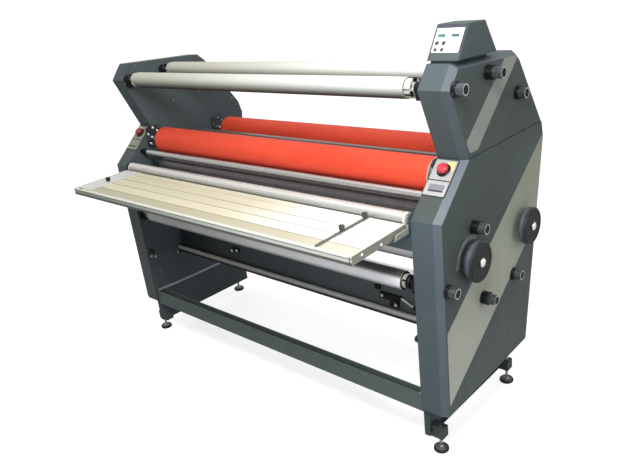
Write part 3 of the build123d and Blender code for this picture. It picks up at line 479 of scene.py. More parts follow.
def silicone():
    base = lin(212, 70, 46)
    m = Mat("silicone_red", base, 0.50, 0.0, Specular_IOR_Level=0.22)
    m.b.inputs["Subsurface Weight"].default_value = 0.06
    m.b.inputs["Subsurface Radius"].default_value = (0.010, 0.003, 0.002)
    m.b.inputs["Subsurface Scale"].default_value = 0.5
    big = m.noise(1.0, 4.0, 0.55, m.mapped((1.6, 9.0, 9.0)))
    col = m.mix(m.ramp(big, 0.32, 0.68), lin(204, 66, 44), lin(216, 74, 50))
    mott = m.noise(34.0, 5.0, 0.65)
    col = m.mix(m.ramp(mott, 0.5, 0.72, 0.0, 0.22), col, lin(224, 88, 62))
    ring = m.noise(1.0, 3.0, 0.6, m.mapped((120.0, 1.5, 1.5)))
    col = m.mix(m.ramp(ring, 0.55, 0.8, 0.0, 0.18), col, lin(160, 40, 26))
    dust = m.noise(260.0, 2.0)
    col = m.mix(m.ramp(dust, 0.60, 0.74, 0.0, 0.10), col, lin(236, 120, 96))
    m.color(col)
    m.rough(m.ramp(m.noise(30.0, 5.0, 0.6), 0.3, 0.7, 0.42, 0.60))
    m.bump(m.noise(420.0, 3.0), 0.12, 0.0004)
    m.bump(ring, 0.05, 0.0005)
    return m.m


M_RED = silicone()


def dark_roller():
    m = Mat("roller_dark", lin(96, 96, 102), 0.22, 0.65, Specular_IOR_Level=0.4)
    s = m.noise(1.0, 3.0, 0.6, m.mapped((90.0, 2.0, 2.0)))
    col = m.mix(m.ramp(s, 0.3, 0.7), lin(108, 105, 106), lin(124, 120, 122))
    col = m.mix(m.ramp(m.noise(5.0, 3.0), 0.45, 0.75, 0.0, 0.3), col, lin(122, 118, 120))
    m.color(col)
    m.rough(m.ramp(m.noise(30.0, 4.0), 0.3, 0.7, 0.16, 0.28))
    m.bump(s, 0.03, 0.0003)
    return m.m


M_DARKROLL = dark_roller()


GROOVES = ((-54.0, 0.35), (-120.5, 0.8), (-187.0, 0.8), (-253.5, 0.8))


def planks():
    base = lin(232, 228, 210)
    m = Mat("plank_cream", base, 0.46, 0.0, Specular_IOR_Level=0.12)
    grain = m.noise(1.0, 5.0, 0.6, m.mapped((1.6, 70.0, 20.0)), 0.3)
    y, x = m.axis("Y"), m.axis("X")
    # painted light: boards darker and yellower to the left, whiter to the right
    tone = m.mix(m.ramp(x, -0.55, 0.05, 0.0, 1.0, True), lin(199, 194, 169), lin(198, 193, 171))
    tone = m.mix(m.ramp(x, 0.05, 0.62, 0.0, 1.0, True), tone, lin(226, 225, 220))
    col = m.mix(m.ramp(grain, 0.38, 0.66), (0.93, 0.925, 0.905, 1), (1.0, 1.0, 1.0, 1))
    col = m.mix(1.0, tone, col, "MULTIPLY")
    blot = m.noise(3.0, 4.0, 0.6, m.mapped((0.7, 3.0, 1.0)))
    col = m.mix(m.ramp(blot, 0.4, 0.75, 0.0, 0.22), col, lin(194, 188, 162))
    # front plank greyer; the second plank yellower on its left half
    fr = m.math("MULTIPLY", m.ramp(y, (-252 + CY) / 1000, (-256 + CY) / 1000, 0.0, 0.95), m.ramp(x, 0.85, 0.55, 0.75, 1.0))
    col = m.mix(fr, col, lin(168, 163, 142))
    second = m.math("MULTIPLY", m.ramp(y, (-186 + CY) / 1000, (-189 + CY) / 1000), m.ramp(y, (-256 + CY) / 1000, (-252 + CY) / 1000))
    col = m.mix(m.math("MULTIPLY", second, m.ramp(x, 0.3, -0.1, 0.0, 0.30)), col, lin(206, 197, 168))
    scuff = m.noise(1.0, 5.0, 0.7, m.mapped((14.0, 60.0, 10.0), (0, 0, 0.5)))
    col = m.mix(m.ramp(scuff, 0.60, 0.70, 0.0, 0.14), col, lin(150, 146, 128))
    for gy, k in GROOVES:
        d = m.math("ABSOLUTE", m.math("ADD", y, -(gy + CY) / 1000))
        col = m.mix(m.ramp(d, 0.0034, 0.0016, 0.0, k), col, m.mix(m.ramp(x, -0.2, 0.5), lin(122, 122, 112), lin(86, 87, 80)))
    e = m.math("MULTIPLY", m.edges(0.0012), 0.4)
    col = m.mix(e, col, lin(150, 146, 128))
    m.color(col)
    m.rough(m.ramp(grain, 0.3, 0.7, 0.40, 0.54))
    m.bump(grain, 0.04, 0.0004)
    m.bump(m.noise(600.0, 2.0), 0.04, 0.0003)
    return m.m


M_PLANK = planks()


def flat_detail(name, base, rough=0.4, scale=200.0, var=0.12, emit=0.0, **k):
    m = Mat(name, base, rough, 0.0, **k)
    v = m.noise(scale, 3.0)
    m.color(m.mix(m.ramp(v, 0.3, 0.7), dim(base, 1 - var), dim(base, 1 + var)))
    m.rough(m.ramp(v, 0.3, 0.7, max(0.03, rough - 0.06), rough + 0.06))
    m.bump(v, 0.03, 0.0003)
    if emit:
        m.b.inputs["Emission Color"].default_value = base
        m.b.inputs["Emission Strength"].default_value = emit
    return m.m


M_PANEL = flat_detail("panel_white", lin(232, 236, 238), 0.30, 160.0, 0.03, Coat_Weight=0.3)
M_TEAL = flat_detail("display_teal", lin(66, 112, 106), 0.30, 300.0, 0.14, Specular_IOR_Level=0.2)
M_TEALDARK = flat_detail("display_teal_dark", lin(62, 92, 96), 0.30, 300.0, 0.14, Specular_IOR_Level=0.2)
M_KEY = flat_detail("key_grey", lin(58, 62, 62), 0.46, 300.0, 0.12, Specular_IOR_Level=0.2)
M_KEYRING = flat_detail("key_ring_grey", lin(104, 107, 107), 0.46, 300.0, 0.10, Specular_IOR_Level=0.2)
M_MARK = flat_detail("mark_grey", lin(124, 126, 134), 0.46, 300.0, 0.10, Specular_IOR_Level=0.2)
M_KEYLIGHT = flat_detail("key_ring_light", lin(142, 146, 146), 0.46, 300.0, 0.08, Specular_IOR_Level=0.2)
M_LABELGREY = flat_detail("label_grey", lin(196, 202, 206), 0.35)
M_DARKLINE = flat_detail("dark_line", lin(44, 47, 50), 0.5)
M_YELLOW = flat_detail("stop_yellow", lin(204, 188, 128), 0.42, 120.0, 0.10, Specular_IOR_Level=0.3)
M_STOP = plastic("stop_red", lin(186, 34, 50), 0.24, 0.02, 400.0, 0.08, 0.25, Coat_Weight=0.4, Coat_Roughness=0.12)
# the left button: a darker shaded copy of the same red (painted shade)
M_STOP_LEFT_PAINTED_SHADE = plastic("stop_red_dark", lin(132, 36, 34), 0.26, 0.02, 400.0, 0.08, 0.35, Coat_Weight=0.4, Coat_Roughness=0.15)
# white: on the bolt heads it stands for the glint of plated steel (painted highlight)
M_BOLTWHITE = plastic("bolt_white", lin(226, 228, 220), 0.30, 0.03, 500.0, 0.05, 0.2)
M_CAPWHITE = plastic("cap_white", lin(240, 241, 238), 0.28, 0.03, 500.0, 0.04, 0.2)
M_CREAM = plastic("chuck_cream", lin(214, 211, 198), 0.40, 0.04, 400.0, 0.06, 0.2, Specular_IOR_Level=0.3)
M_CHUCK = plastic("chuck_grey", lin(178, 176, 166), 0.42, 0.04, 400.0, 0.10, 0.3, Specular_IOR_Level=0.3)
M_CHUCKDARK = plastic("chuck_dark", lin(118, 118, 110), 0.42, 0.04, 400.0, 0.10, 0.3, Specular_IOR_Level=0.3)
M_CHUCKFACE = metal("chuck_face", lin(206, 206, 200), 0.30, (80.0, 260.0, 260.0), 0.10, 0.04, metallic=0.4)
M_LEDGE = metal("ledge_steel", lin(172, 176, 182), 0.38, (300.0, 4.0, 300.0), 0.12, 0.05, metallic=0.3)
M_SCALE = metal("scale_plate", lin(118, 125, 127), 0.40, (80.0, 80.0, 80.0), 0.10, 0.05, metallic=0.2)


# ------------------------------------------------------------------ dressing the CAD nodes
def slots_of(o, mats):
    o.data.materials.clear()
    for m in mats:
        o.data.materials.append(m)


def dress(names, *mats, pick=None, bevel=0.0, angle=32.0, segs=2, rims=True):
    """Materials (pick(centre_mm, normal) -> index) and, with bevel, a weld and a small rounded edge."""
    for n in names.split():
        o = NODES[n]
        me = o.data
        slots_of(o, mats)
        idx = [0] * len(me.polygons)
        if pick:
            for i, p in enumerate(me.polygons):
                c = p.center
                idx[i] = pick((c.x * 1000 - CX, c.y * 1000 - CY, c.z * 1000), p.normal)
        me.polygons.foreach_set("material_index", idx)
        if bevel:
            for a in ("custom_normal", "sharp_edge", "sharp_face"):
                if a in me.attributes:
                    me.attributes.remove(me.attributes[a])
            if not rims:
                used = {}
                for p in me.polygons:
                    for k in p.edge_keys:
                        used[k] = used.get(k, 0) + 1
                wt_a = me.attributes.new("bevel_weight_edge", "FLOAT", "EDGE")
                sh_a = me.attributes.new("sharp_edge", "BOOLEAN", "EDGE")
                for e in me.edges:
                    a, c = (me.vertices[v].co for v in e.vertices)
                    split = used.get(tuple(sorted(e.vertices)), 0) == 1
                    wt_a.data[e.index].value = 1.0 if (split and (a - c).length > 0.011) else 0.0
                    sh_a.data[e.index].value = split and (a - c).length <= 0.011
            w = o.modifiers.new("weld", "WELD")
            w.merge_threshold = 2e-5
            b = o.modifiers.new("edge", "BEVEL")
            b.width, b.segments = bevel, segs
            b.limit_method, b.angle_limit = ("ANGLE" if rims else "WEIGHT"), math.radians(angle)
            b.harden_normals = True
            b.use_clamp_overlap = True
            b.miter_outer = "MITER_ARC"
        me.update()




# picks the lit and shaded copies of the case paint by face orientation (painted light)
def pick_case(c, n):
    ax = abs(n.x)
    if ax > 0.97:
        return 0
    if ax > 0.15:
        return 2
    return 3 if (n.y < -0.5 and n.z > 0.5) else 1


dress("lower_cover_right", M_CASE, M_CASE_FRONT_PAINTED_LIGHT, M_CASE_BEVEL_PAINTED_LIGHT, M_CASE_SLANT_PAINTED_LIGHT, pick=pick_case, bevel=0.0016, segs=3, rims=False)
dress("lower_cover_left", M_CASE, M_LEFT_FRONT_PAINTED_LIGHT, M_CASE_BEVEL_PAINTED_LIGHT, M_LEFT_SLANT_PAINTED_LIGHT, pick=pick_case, bevel=0.0016, segs=3, rims=False)
dress("head_cover_right head_cover_left", M_CASE, M_HEAD_FRONT_PAINTED_LIGHT, M_HEAD_BEVEL_PAINTED_LIGHT, M_HEAD_FRONT_PAINTED_LIGHT, pick=pick_case, bevel=0.0016, segs=3, rims=False)
dress("side_plate_right side_plate_left", M_PLATE, M_LEG, pick=lambda c, n: 1 if (abs(c[0]) > 906.5 and c[2] < 200) else 0)
dress("control_box", M_BOX, bevel=0.0012, segs=3)
dress("front_beam", M_BEAM, bevel=0.0010)
dress("apron_channel", M_APRON, bevel=0.0010)
dress("lower_guard", M_GUARD)
dress("table_brackets", M_BRACKET, bevel=0.0006)
dress("tie_bars", M_TIEBAR, M_NIPBAR, M_EXITBAR, pick=lambda c, n: 0 if c[2] < 1000 else (1 if c[1] < 300 else 2))
dress("film_holders", M_BLACKMETAL)
dress("roller_bearings", M_CAST)
dress("drive_chain", M_CHAIN)
dress("drive_motor", M_MOTOR)
dress("cap_screws", M_SCREWGREY)
dress("film_tube_front film_tube_top", M_TUBE)
for rn, rm in (("front", M_LOWTUBE), ("middle", M_LOWTUBE2), ("rear", M_LOWTUBE2)):
    dress(f"lower_film_roller_{rn}", rm, M_BLACKMETAL, M_STEEL,
          pick=lambda c, n: 2 if (c[0] > 841 or c[0] < -796) else (1 if (c[0] > 839.5 or c[0] < -794.5) else 0))
dress("idler_roller", M_IDLER, M_STEEL, pick=lambda c, n: 1 if (c[0] > 869 or c[0] < -877) else 0)
dress("lower_roller_front lower_roller_rear", M_DARKROLL, M_STEEL, pick=lambda c, n: 1 if (c[0] > 888.5 or c[0] < -792.5) else 0)
dress("top_roller_front_sleeve top_roller_rear_sleeve", M_RED)
dress("top_roller_front_core top_roller_rear_core", M_STEEL)
dress("nip_blocks_front nip_blocks_rear", M_CAST, M_ZINC, pick=lambda c, n: 1 if abs(c[0]) < 894.2 else 0)
dress("table_planks", M_PLANK)
dress("table_frame", M_FRAMEAL, bevel=0.0005)
dress("side_guide_right", M_GUIDEDARK)
dress("side_guide_left", M_GUIDELIGHT)
dress("guide_screw_front guide_screw_rear", M_THUMB)
dress("guide_screw_left", M_KNOBBLACK)
dress("knob_collars", M_KNOBBLACK)

KNOBS = {"film_brake_knob_front": ((124, 1477), 43.0, False), "film_brake_knob_top": ((350, 1491), 64.0, True),
         "rewind_knob": ((587, 1371), 40.0, False), "pressure_knob": ((229, 949), 58.0, True),
         "lower_brake_knob_front": ((34, 770), 44.0, False), "lower_brake_knob_middle": ((297, 623), 59.0, True),
         "lower_brake_knob_rear": ((559, 613), 42.0, False)}
for kn, (ax, reach, long) in KNOBS.items():
    def pick_knob(c, n, ax=ax, reach=reach):
        r = math.hypot(c[1] - ax[0], c[2] - ax[1])
        if c[0] > OUT + reach - 0.3 and r > 14:
            return 1
        if r < 15.6 and c[0] > OUT + reach - 3:
            return 2
        return 3 if c[0] < OUT + reach - 25 else 0
    dress(kn, M_KNURL, M_RINGGREY, M_KNOBBLACK, M_KNOBNECK, pick=pick_knob)
for wn, ax in (("handwheel_front", (195, 829)), ("handwheel_rear", (632, 811))):
    def pick_wheel(c, n, ax=ax):
        r = math.hypot(c[1] - ax[0], c[2] - ax[1])
        if c[0] > OUT + 56 and r < 18.5:
            return 1
        return 2 if (r > 76 and c[0] < OUT + 50) else 0
    dress(wn, M_WHEEL, M_SILVER, M_WHEELRIM, pick=pick_wheel)

# operator face and control-panel axes (y, z)
S, K = (197, 1212), (2, 1038)
L = math.hypot(S[0] - K[0], S[1] - K[1])
UP = ((S[0] - K[0]) / L, (S[1] - K[1]) / L)
NO = (-UP[1], UP[0])
B0, B1 = (155, 1563), (232, 1673)
BL = math.hypot(B1[0] - B0[0], B1[1] - B0[1])
BUP = ((B1[0] - B0[0]) / BL, (B1[1] - B0[1]) / BL)
BO = (-BUP[1], BUP[0])


def slant(x, down, out=0.0):
    return P(x, S[0] - UP[0] * down + NO[0] * out, S[1] - UP[1] * down + NO[1] * out)


def fascia(x, down, out=0.0):
    return P(x, B1[0] - BUP[0] * down + BO[0] * out, B1[1] - BUP[1] * down + BO[1] * out)


def pick_panel(c, n):
    down = (B1[0] - c[1]) * BUP[0] + (B1[1] - c[2]) * BUP[1]
    out = (c[1] - B1[0]) * BO[0] + (c[2] - B1[1]) * BO[1]
    if out > 1.3:
        if down < 50:
            return 0
        return 3 if c[0] > 963 else 2
    return 0


dress("control_panel", M_PANEL, M_TEAL, M_KEY, M_LABELGREY, pick=pick_panel)
for sn, sm in (("right", M_STOP), ("left", M_STOP_LEFT_PAINTED_SHADE)):
    dress(f"estop_button_{sn}", sm, M_BLACKMETAL,
          pick=lambda c, n: 1 if ((c[1] - S[0]) * NO[0] + (c[2] - S[1]) * NO[1]) < 10.9 else 0)
dress("jog_button_right", M_JOG)
dress("jog_button_left", M_PLATEDULL)
dress("switch_plates", M_PLATESILVER, M_PLATEDULL, pick=lambda c, n: 0 if c[0] > 0 else 1)


FEET_AT = {"foot_front_right": (945, 63), "foot_rear_right": (954, 634), "foot_front_left": (-968, 63), "foot_rear_left": (-936, 634)}
for fn, (fx, fy) in FEET_AT.items():
    def pick_foot(c, n, fx=fx, fy=fy):
        if c[2] > 13.2:
            return 0
        return 2 if (math.hypot(c[0] - fx, c[1] - fy) < 23.5 and c[2] > 9.5) else 1
    dress(fn, M_ZINC, M_RUBBER, M_PADTOP, pick=pick_foot)


def pick_shaft(ax):
    def f(c, n):
        r = math.hypot(c[1] - ax[0], c[2] - ax[1])
        return 1 if ((785 < c[0] < 880 or -835 < c[0] < -740) and r > 10.5) else 0
    return f


dress("film_shaft_front", M_STEEL, M_CHUCK, pick=pick_shaft((124, 1477)))
dress("film_shaft_top", M_STEEL, M_CHUCK, pick=pick_shaft((350, 1491)))


# ------------------------------------------------------------------ modelled pieces
def add(name, me, mat, body, bevel=0.0, segs=2, angle=35.0, smooth=True):
    o = bpy.data.objects.new(name, me)
    scene.collection.objects.link(o)
    me.materials.append(mat)
    if smooth:
        me.shade_smooth()
        if not bevel:
            me.set_sharp_from_angle(angle=math.radians(angle))
    if bevel:
        b = o.modifiers.new("edge", "BEVEL")
        b.width, b.segments, b.limit_method, b.angle_limit = bevel, segs, "ANGLE", math.radians(angle)
        b.harden_normals = True
    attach(o, body)
    return o


def sweep_loop(name, rings, closed_ends=True):
    """Mesh from a list of rings with equal point counts (world metres)."""
    bm = bmesh.new()
    vs = [[bm.verts.new(p) for p in r] for r in rings]
    n = len(rings[0])
    for a, b in zip(vs, vs[1:]):
        for i in range(n):
            bm.faces.new((a[i], a[(i + 1) % n], b[(i + 1) % n], b[i]))
    if closed_ends:
        bm.faces.new(vs[0][::-1])
        bm.faces.new(vs[-1])
    bmesh.ops.recalc_face_normals(bm, faces=bm.faces)
    me = bpy.data.meshes.new(name)
    bm.to_mesh(me)
    bm.free()
    return me


def plate(name, pts, base, thick, place):
    """A plate: 2-D outline pts (u, v) placed by place(u, v, w), from w = base to base + thick."""
    return sweep_loop(name, [[place(u, v, base) for u, v in pts], [place(u, v, base + thick) for u, v in pts]])


def rrect(cx, cy, w, h, r, n=5):
    out = []
    for qx, qy, a0 in ((1, 1, 0), (-1, 1, 90), (-1, -1, 180), (1, -1, 270)):
        for i in range(n + 1):
            a = math.radians(a0 + 90 * i / n)
            out.append((cx + qx * (w / 2 - r) + r * math.cos(a), cy + qy * (h / 2 - r) + r * math.sin(a)))
    return out


def circle(cx, cy, r, n=28, a0=0.0):
    return [(cx + r * math.cos(a0 + 2 * math.pi * i / n), cy + r * math.sin(a0 + 2 * math.pi * i / n)) for i in range(n)]


def on_x(sgn=1):
    """u = y, v = z, w = x outward."""
    return lambda u, v, w: P(sgn * w, u, v)


def lathe(name, prof, place, n=32):
    """prof is a list of (w, r); place(u, v, w) puts local u, v (radial) and w (axial)."""
    rings = []
    for w, r in prof:
        rings.append([place(r * math.cos(2 * math.pi * i / n), r * math.sin(2 * math.pi * i / n), w) for i in range(n)])
    return sweep_loop(name, rings)


def hexhead(name, place, r=6.0, h=5.0, washer=8.0):
    """Hexagon bolt head on a washer, with a chamfered crown."""
    bm = bmesh.new()

    def ring(rad, w, n, a0=0.0):
        return [bm.verts.new(place(rad * math.cos(a0 + 2 * math.pi * i / n), rad * math.sin(a0 + 2 * math.pi * i / n), w)) for i in range(n)]

    def skin(a, b):
        n = len(a)
        for i in range(n):
            bm.faces.new((a[i], a[(i + 1) % n], b[(i + 1) % n], b[i]))

    rings = [ring(washer, 0, 24), ring(washer, 1.0, 24), ring(washer - 0.5, 1.3, 24)]
    for a, b in zip(rings, rings[1:]):
        skin(a, b)
    bm.faces.new(rings[0][::-1])
    bm.faces.new(rings[-1])
    hr = [ring(r, 1.3, 6), ring(r, h - 0.7, 6), ring(r * 0.86, h, 6)]
    for a, b in zip(hr, hr[1:]):
        skin(a, b)
    bm.faces.new(hr[0][::-1])
    bm.faces.new(hr[-1])
    bmesh.ops.recalc_face_normals(bm, faces=bm.faces)
    me = bpy.data.meshes.new(name)
    bm.to_mesh(me)
    bm.free()
    return me


def sockethead(name, place, r=6.0, h=6.0, key=3.0, depth=3.0):
    """Socket cap screw with a real hexagon recess."""
    n = 24
    bm = bmesh.new()

    def ring(rad, w, m, a0=0.0):
        return [bm.verts.new(place(rad * math.cos(a0 + 2 * math.pi * i / m), rad * math.sin(a0 + 2 * math.pi * i / m), w)) for i in range(m)]
    a = ring(r, 0, n); b = ring(r, h - 0.8, n); c = ring(r - 0.8, h, n)
    k0 = [bm.verts.new(place(key * math.cos(math.pi / 3 * (i // 4)) * (1 - (i % 4) / 4) + key * math.cos(math.pi / 3 * (i // 4 + 1)) * ((i % 4) / 4),
                             key * math.sin(math.pi / 3 * (i // 4)) * (1 - (i % 4) / 4) + key * math.sin(math.pi / 3 * (i // 4 + 1)) * ((i % 4) / 4), h)) for i in range(n)]
    k1 = [bm.verts.new(place(key * math.cos(math.pi / 3 * (i // 4)) * (1 - (i % 4) / 4) + key * math.cos(math.pi / 3 * (i // 4 + 1)) * ((i % 4) / 4),
                             key * math.sin(math.pi / 3 * (i // 4)) * (1 - (i % 4) / 4) + key * math.sin(math.pi / 3 * (i // 4 + 1)) * ((i % 4) / 4), h - depth)) for i in range(n)]
    for s, t in ((a, b), (b, c), (c, k0), (k0, k1)):
        for i in range(n):
            bm.faces.new((s[i], s[(i + 1) % n], t[(i + 1) % n], t[i]))
    bm.faces.new(a[::-1]); bm.faces.new(k1)
    bmesh.ops.recalc_face_normals(bm, faces=bm.faces)
    me = bpy.data.meshes.new(name)
    bm.to_mesh(me)
    bm.free()
    return me


# ------------------------------------------------------------------ control panel, switch plates
def fas(u, v, w):
    return fascia(u, v, w)


def sl(u, v, w, s=1):
    return slant(s * u, v, w)


# thin seams of the fascia: a dark reveal above and below the white overlay
add("fascia_upper_strip", plate("fascia_upper_strip", [(901.5, 2.9), (1017.5, 2.9), (1017.5, 16.5), (901.5, 16.5)], 0.05, 1.75, fas), M_BOXTRIM, "frame", 0.0004)
add("fascia_lower_strip", plate("fascia_lower_strip", [(901.5, 105.4), (1017.5, 105.4), (1017.5, 132.0), (901.5, 132.0)], 0.05, 0.9, fas), M_BOX, "frame", 0.0004)
add("fascia_left_strip", plate("fascia_left_strip", [(901.4, 4.2), (907.0, 4.2), (907.0, 132.0), (901.4, 132.0)], 0.05, 2.5, fas), M_BOX, "frame", 0.0003)
add("fascia_right_strip", plate("fascia_right_strip", [(1010.6, 16.6), (1017.6, 16.6), (1017.6, 105.2), (1010.6, 105.2)], 0.05, 1.6, fas), M_BOXTRIM, "frame", 0.0003)
for i, x in enumerate((931, 983)):
    add(f"display_pane_{i}", plate(f"display_pane_{i}", rrect(x, 44, 29, 10.5, 1.5), 1.2, 0.95, fas), M_TEAL if i == 0 else M_TEALDARK, "frame")
add("display_mark", plate("display_mark", rrect(955.5, 44, 4, 8, 1.2), 1.25, 0.6, fas), M_MARK, "frame")
add("panel_mark", plate("panel_mark", rrect(978, 84, 8, 5, 1.2), 1.25, 0.4, fas), M_LABELGREY, "frame")
for i, (x0, dn) in enumerate(((922, 71), (948, 71), (922, 95), (948, 95))):
    add(f"key_ring_{i}", lathe(f"key_ring_{i}", [(1.2, 8.4), (1.8, 8.2), (2.0, 7.4), (2.0, 5.6), (1.2, 5.5)], lambda u, v, w, x0=x0, dn=dn: fascia(x0 - 2 + u, dn + v, w), 28), M_KEYRING if i < 2 else M_KEYLIGHT, "frame")

for s, side in ((1, "right"), (-1, "left")):
    def sp(u, v, w, s=s):
        return slant(s * u, v, w)
    # yellow field of the stop button, cut round the mushroom
    ring_pts = rrect(948, 50, 72, 70, 3)
    add(f"stop_field_{side}", plate(f"stop_field_{side}", [(952, 14), (984, 14), (984, 48), (976, 53), (968, 44), (962, 34), (952, 28)], 3.05, 0.35, sp), M_YELLOW, "frame")
    # black base ring, wider than the collar: it stands for the mushroom's shadow (painted shadow)
    add(f"stop_base_with_painted_shadow_{side}", lathe(f"stop_base_with_painted_shadow_{side}", [(3.0, 27.0), (4.6, 26.7), (5.4, 25.2), (5.6, 15.0), (3.0, 14.8)], lambda u, v, w, sp=sp: sp(948 + u, 50 + v, w), 40), M_KNOBBLACK, "frame")
    # black gasket line round the plates, break line and the slot under the jog bar
    add(f"switch_gasket_{side}", plate(f"switch_gasket_{side}", rrect(946.5, 81, 95.0, 155.0, 5), 0.04, 1.3, sp), M_DARKLINE, "frame")
    add(f"switch_break_{side}", plate(f"switch_break_{side}", rrect(946, 92.5, 86, 4.2, 0.8), 3.0, 0.5, sp), M_DARKLINE, "frame")
    add(f"jog_slot_{side}", plate(f"jog_slot_{side}", rrect(948, 136.5, 60, 4.0, 1.2), 3.0, 0.7, sp), M_DARKLINE, "frame")

# ------------------------------------------------------------------ scale plate behind the front wheel
arc = []
for i in range(33):
    a = math.radians(62 + 118 * i / 32)
    arc.append((206 + 103 * math.cos(a), 820 + 103 * math.sin(a)))
for i in range(33):
    a = math.radians(62 + 118 * (32 - i) / 32)
    arc.append((206 + 84 * math.cos(a), 820 + 84 * math.sin(a)))
add("wheel_scale_plate", plate("wheel_scale_plate", arc, OUT + 0.05, 1.6, on_x()), M_SCALE, "frame", 0.0004)
for i in range(13):
    a = math.radians(66 + 110 * i / 12)
    d0, d1 = (92 if i % 3 else 88), 100
    t = (-math.sin(a), math.cos(a))
    q = [(206 + r * math.cos(a) + k * t[0], 820 + r * math.sin(a) + k * t[1]) for r, k in ((d0, -0.5), (d1, -0.5), (d1, 0.5), (d0, 0.5))]
    add(f"scale_tick_{i:02d}", plate(f"scale_tick_{i:02d}", q, OUT + 1.66, 0.25, on_x()), M_DARKLINE, "frame")

# wheel hubs: cap screw and washer
for wn, (y, z) in (("front", (195, 829)), ("rear", (632, 811))):
    add(f"wheel_cap_{wn}", lathe(f"wheel_cap_{wn}", [(OUT + 58.5, 15.4), (OUT + 60.2, 15.0), (OUT + 60.9, 13.6), (OUT + 61.0, 3.0)], lambda u, v, w, y=y, z=z: P(w, y + u, z + v), 36),
        M_CAPWHITE, f"handwheel_{wn}")

# knob faces: slotted centre plug
for kn, ((y, z), reach, long) in KNOBS.items():
    def kp(u, v, w, y=y, z=z):
        return P(w, y + u, z + v)
    x1 = OUT + reach
    add(f"{kn}_plug", lathe(f"{kn}_plug", [(x1 - 2.6, 7.9), (x1 - 0.6, 7.8), (x1 - 0.2, 7.2), (x1 - 0.15, 1.0)], kp, 28), M_SILVER, kn)
    add(f"{kn}_slot", plate(f"{kn}_slot", rrect(0, 0, 2.6, 13.6, 1.0), x1 - 0.14, 0.12, kp), M_DARKLINE, kn)

# ------------------------------------------------------------------ inner faces
for s, side in ((1, "right"), (-1, "left")):
    def ip(u, v, w, s=s):
        return P(s * (HALF - w), u, v)
    led = [(0.1, 2), (9, 2), (9, 4.5), (3.0, 4.5), (3.0, 10.5), (0.1, 12)]
    path = [(23, 280), (140, 271.5), (272, 264), (390, 259.5), (504, 256), (575, 251), (639, 247)]
    add(f"inner_ledge_{side}", sweep_loop(f"inner_ledge_{side}", [[P(s * (HALF - a), y, z + b) for a, b in led] for y, z in path]), M_LEDGE, "frame", 0.0006)
    add(f"bumper_{side}", lathe(f"bumper_{side}", [(0.05, 14.0), (16, 14.5), (22, 13.5), (25, 10.5), (26, 3.0)], lambda u, v, w, ip=ip: ip(28 + u, 531 + v, w), 28), M_RUBBER, "frame")
    for i, (y, z) in enumerate(((28, 500), (52, 488))):
        add(f"bumper_bolt_{side}_{i}", hexhead(f"bumper_bolt_{side}_{i}", lambda u, v, w, y=y, z=z, ip=ip: ip(y + u, z + v, w + 0.05), 6.0, 5.5, 8.0), M_ZINC, "frame")
    # end bracket of the lower tie bar
    add(f"tie_bracket_{side}", plate(f"tie_bracket_{side}", [(196, 446), (212, 440), (256, 440), (262, 452), (250, 484), (246, 512), (232, 512), (222, 494), (196, 476)], 0.05, 3.0, ip), M_BRACKET, "frame", 0.0005)
    for i, (y, z) in enumerate(((203, 470), (203, 452))):
        add(f"tie_bolt_{side}_{i}", hexhead(f"tie_bolt_{side}_{i}", lambda u, v, w, y=y, z=z, ip=ip: ip(y + u, z + v, w + 3.05), 4.6, 4.5, 6.2), M_ZINC, "frame")

# hexagon bolts of the front slide plates
for s, side in ((1, "right"), (-1, "left")):
    for i, (y, z) in enumerate(((206, 1202), (230, 1181), (170, 1174), (191, 1153), (176, 1121))):
        add(f"slide_bolt_{side}_{i}", hexhead(f"slide_bolt_{side}_{i}", lambda u, v, w, y=y, z=z, s=s: P(s * (HALF - 5.35 - w), y + u, z + v), 4.8, 5.6, 5.8), M_BOLTWHITE, "nip_carriage_front")
# pale rubber lip at the ends of the upper rollers
for nm, (y, z) in (("front", (202, 1143)), ("rear", (655, 1094))):
    add(f"roller_lip_{nm}", lathe(f"roller_lip_{nm}", [(888.05, 67.0), (889.4, 66.8), (890.2, 65.6), (890.2, 62.5), (889.1, 61.0)], lambda u, v, w, y=y, z=z: P(w, y + u, z + v), 56), M_CHUCK, f"top_roller_{nm}")
# small screw where the front beam meets the right leg
add("beam_screw", hexhead("beam_screw", lambda u, v, w: P(873 + u, 37 + v, 262.0 + w), 5.0, 5.0, 7.0), M_BOLTWHITE, "frame")

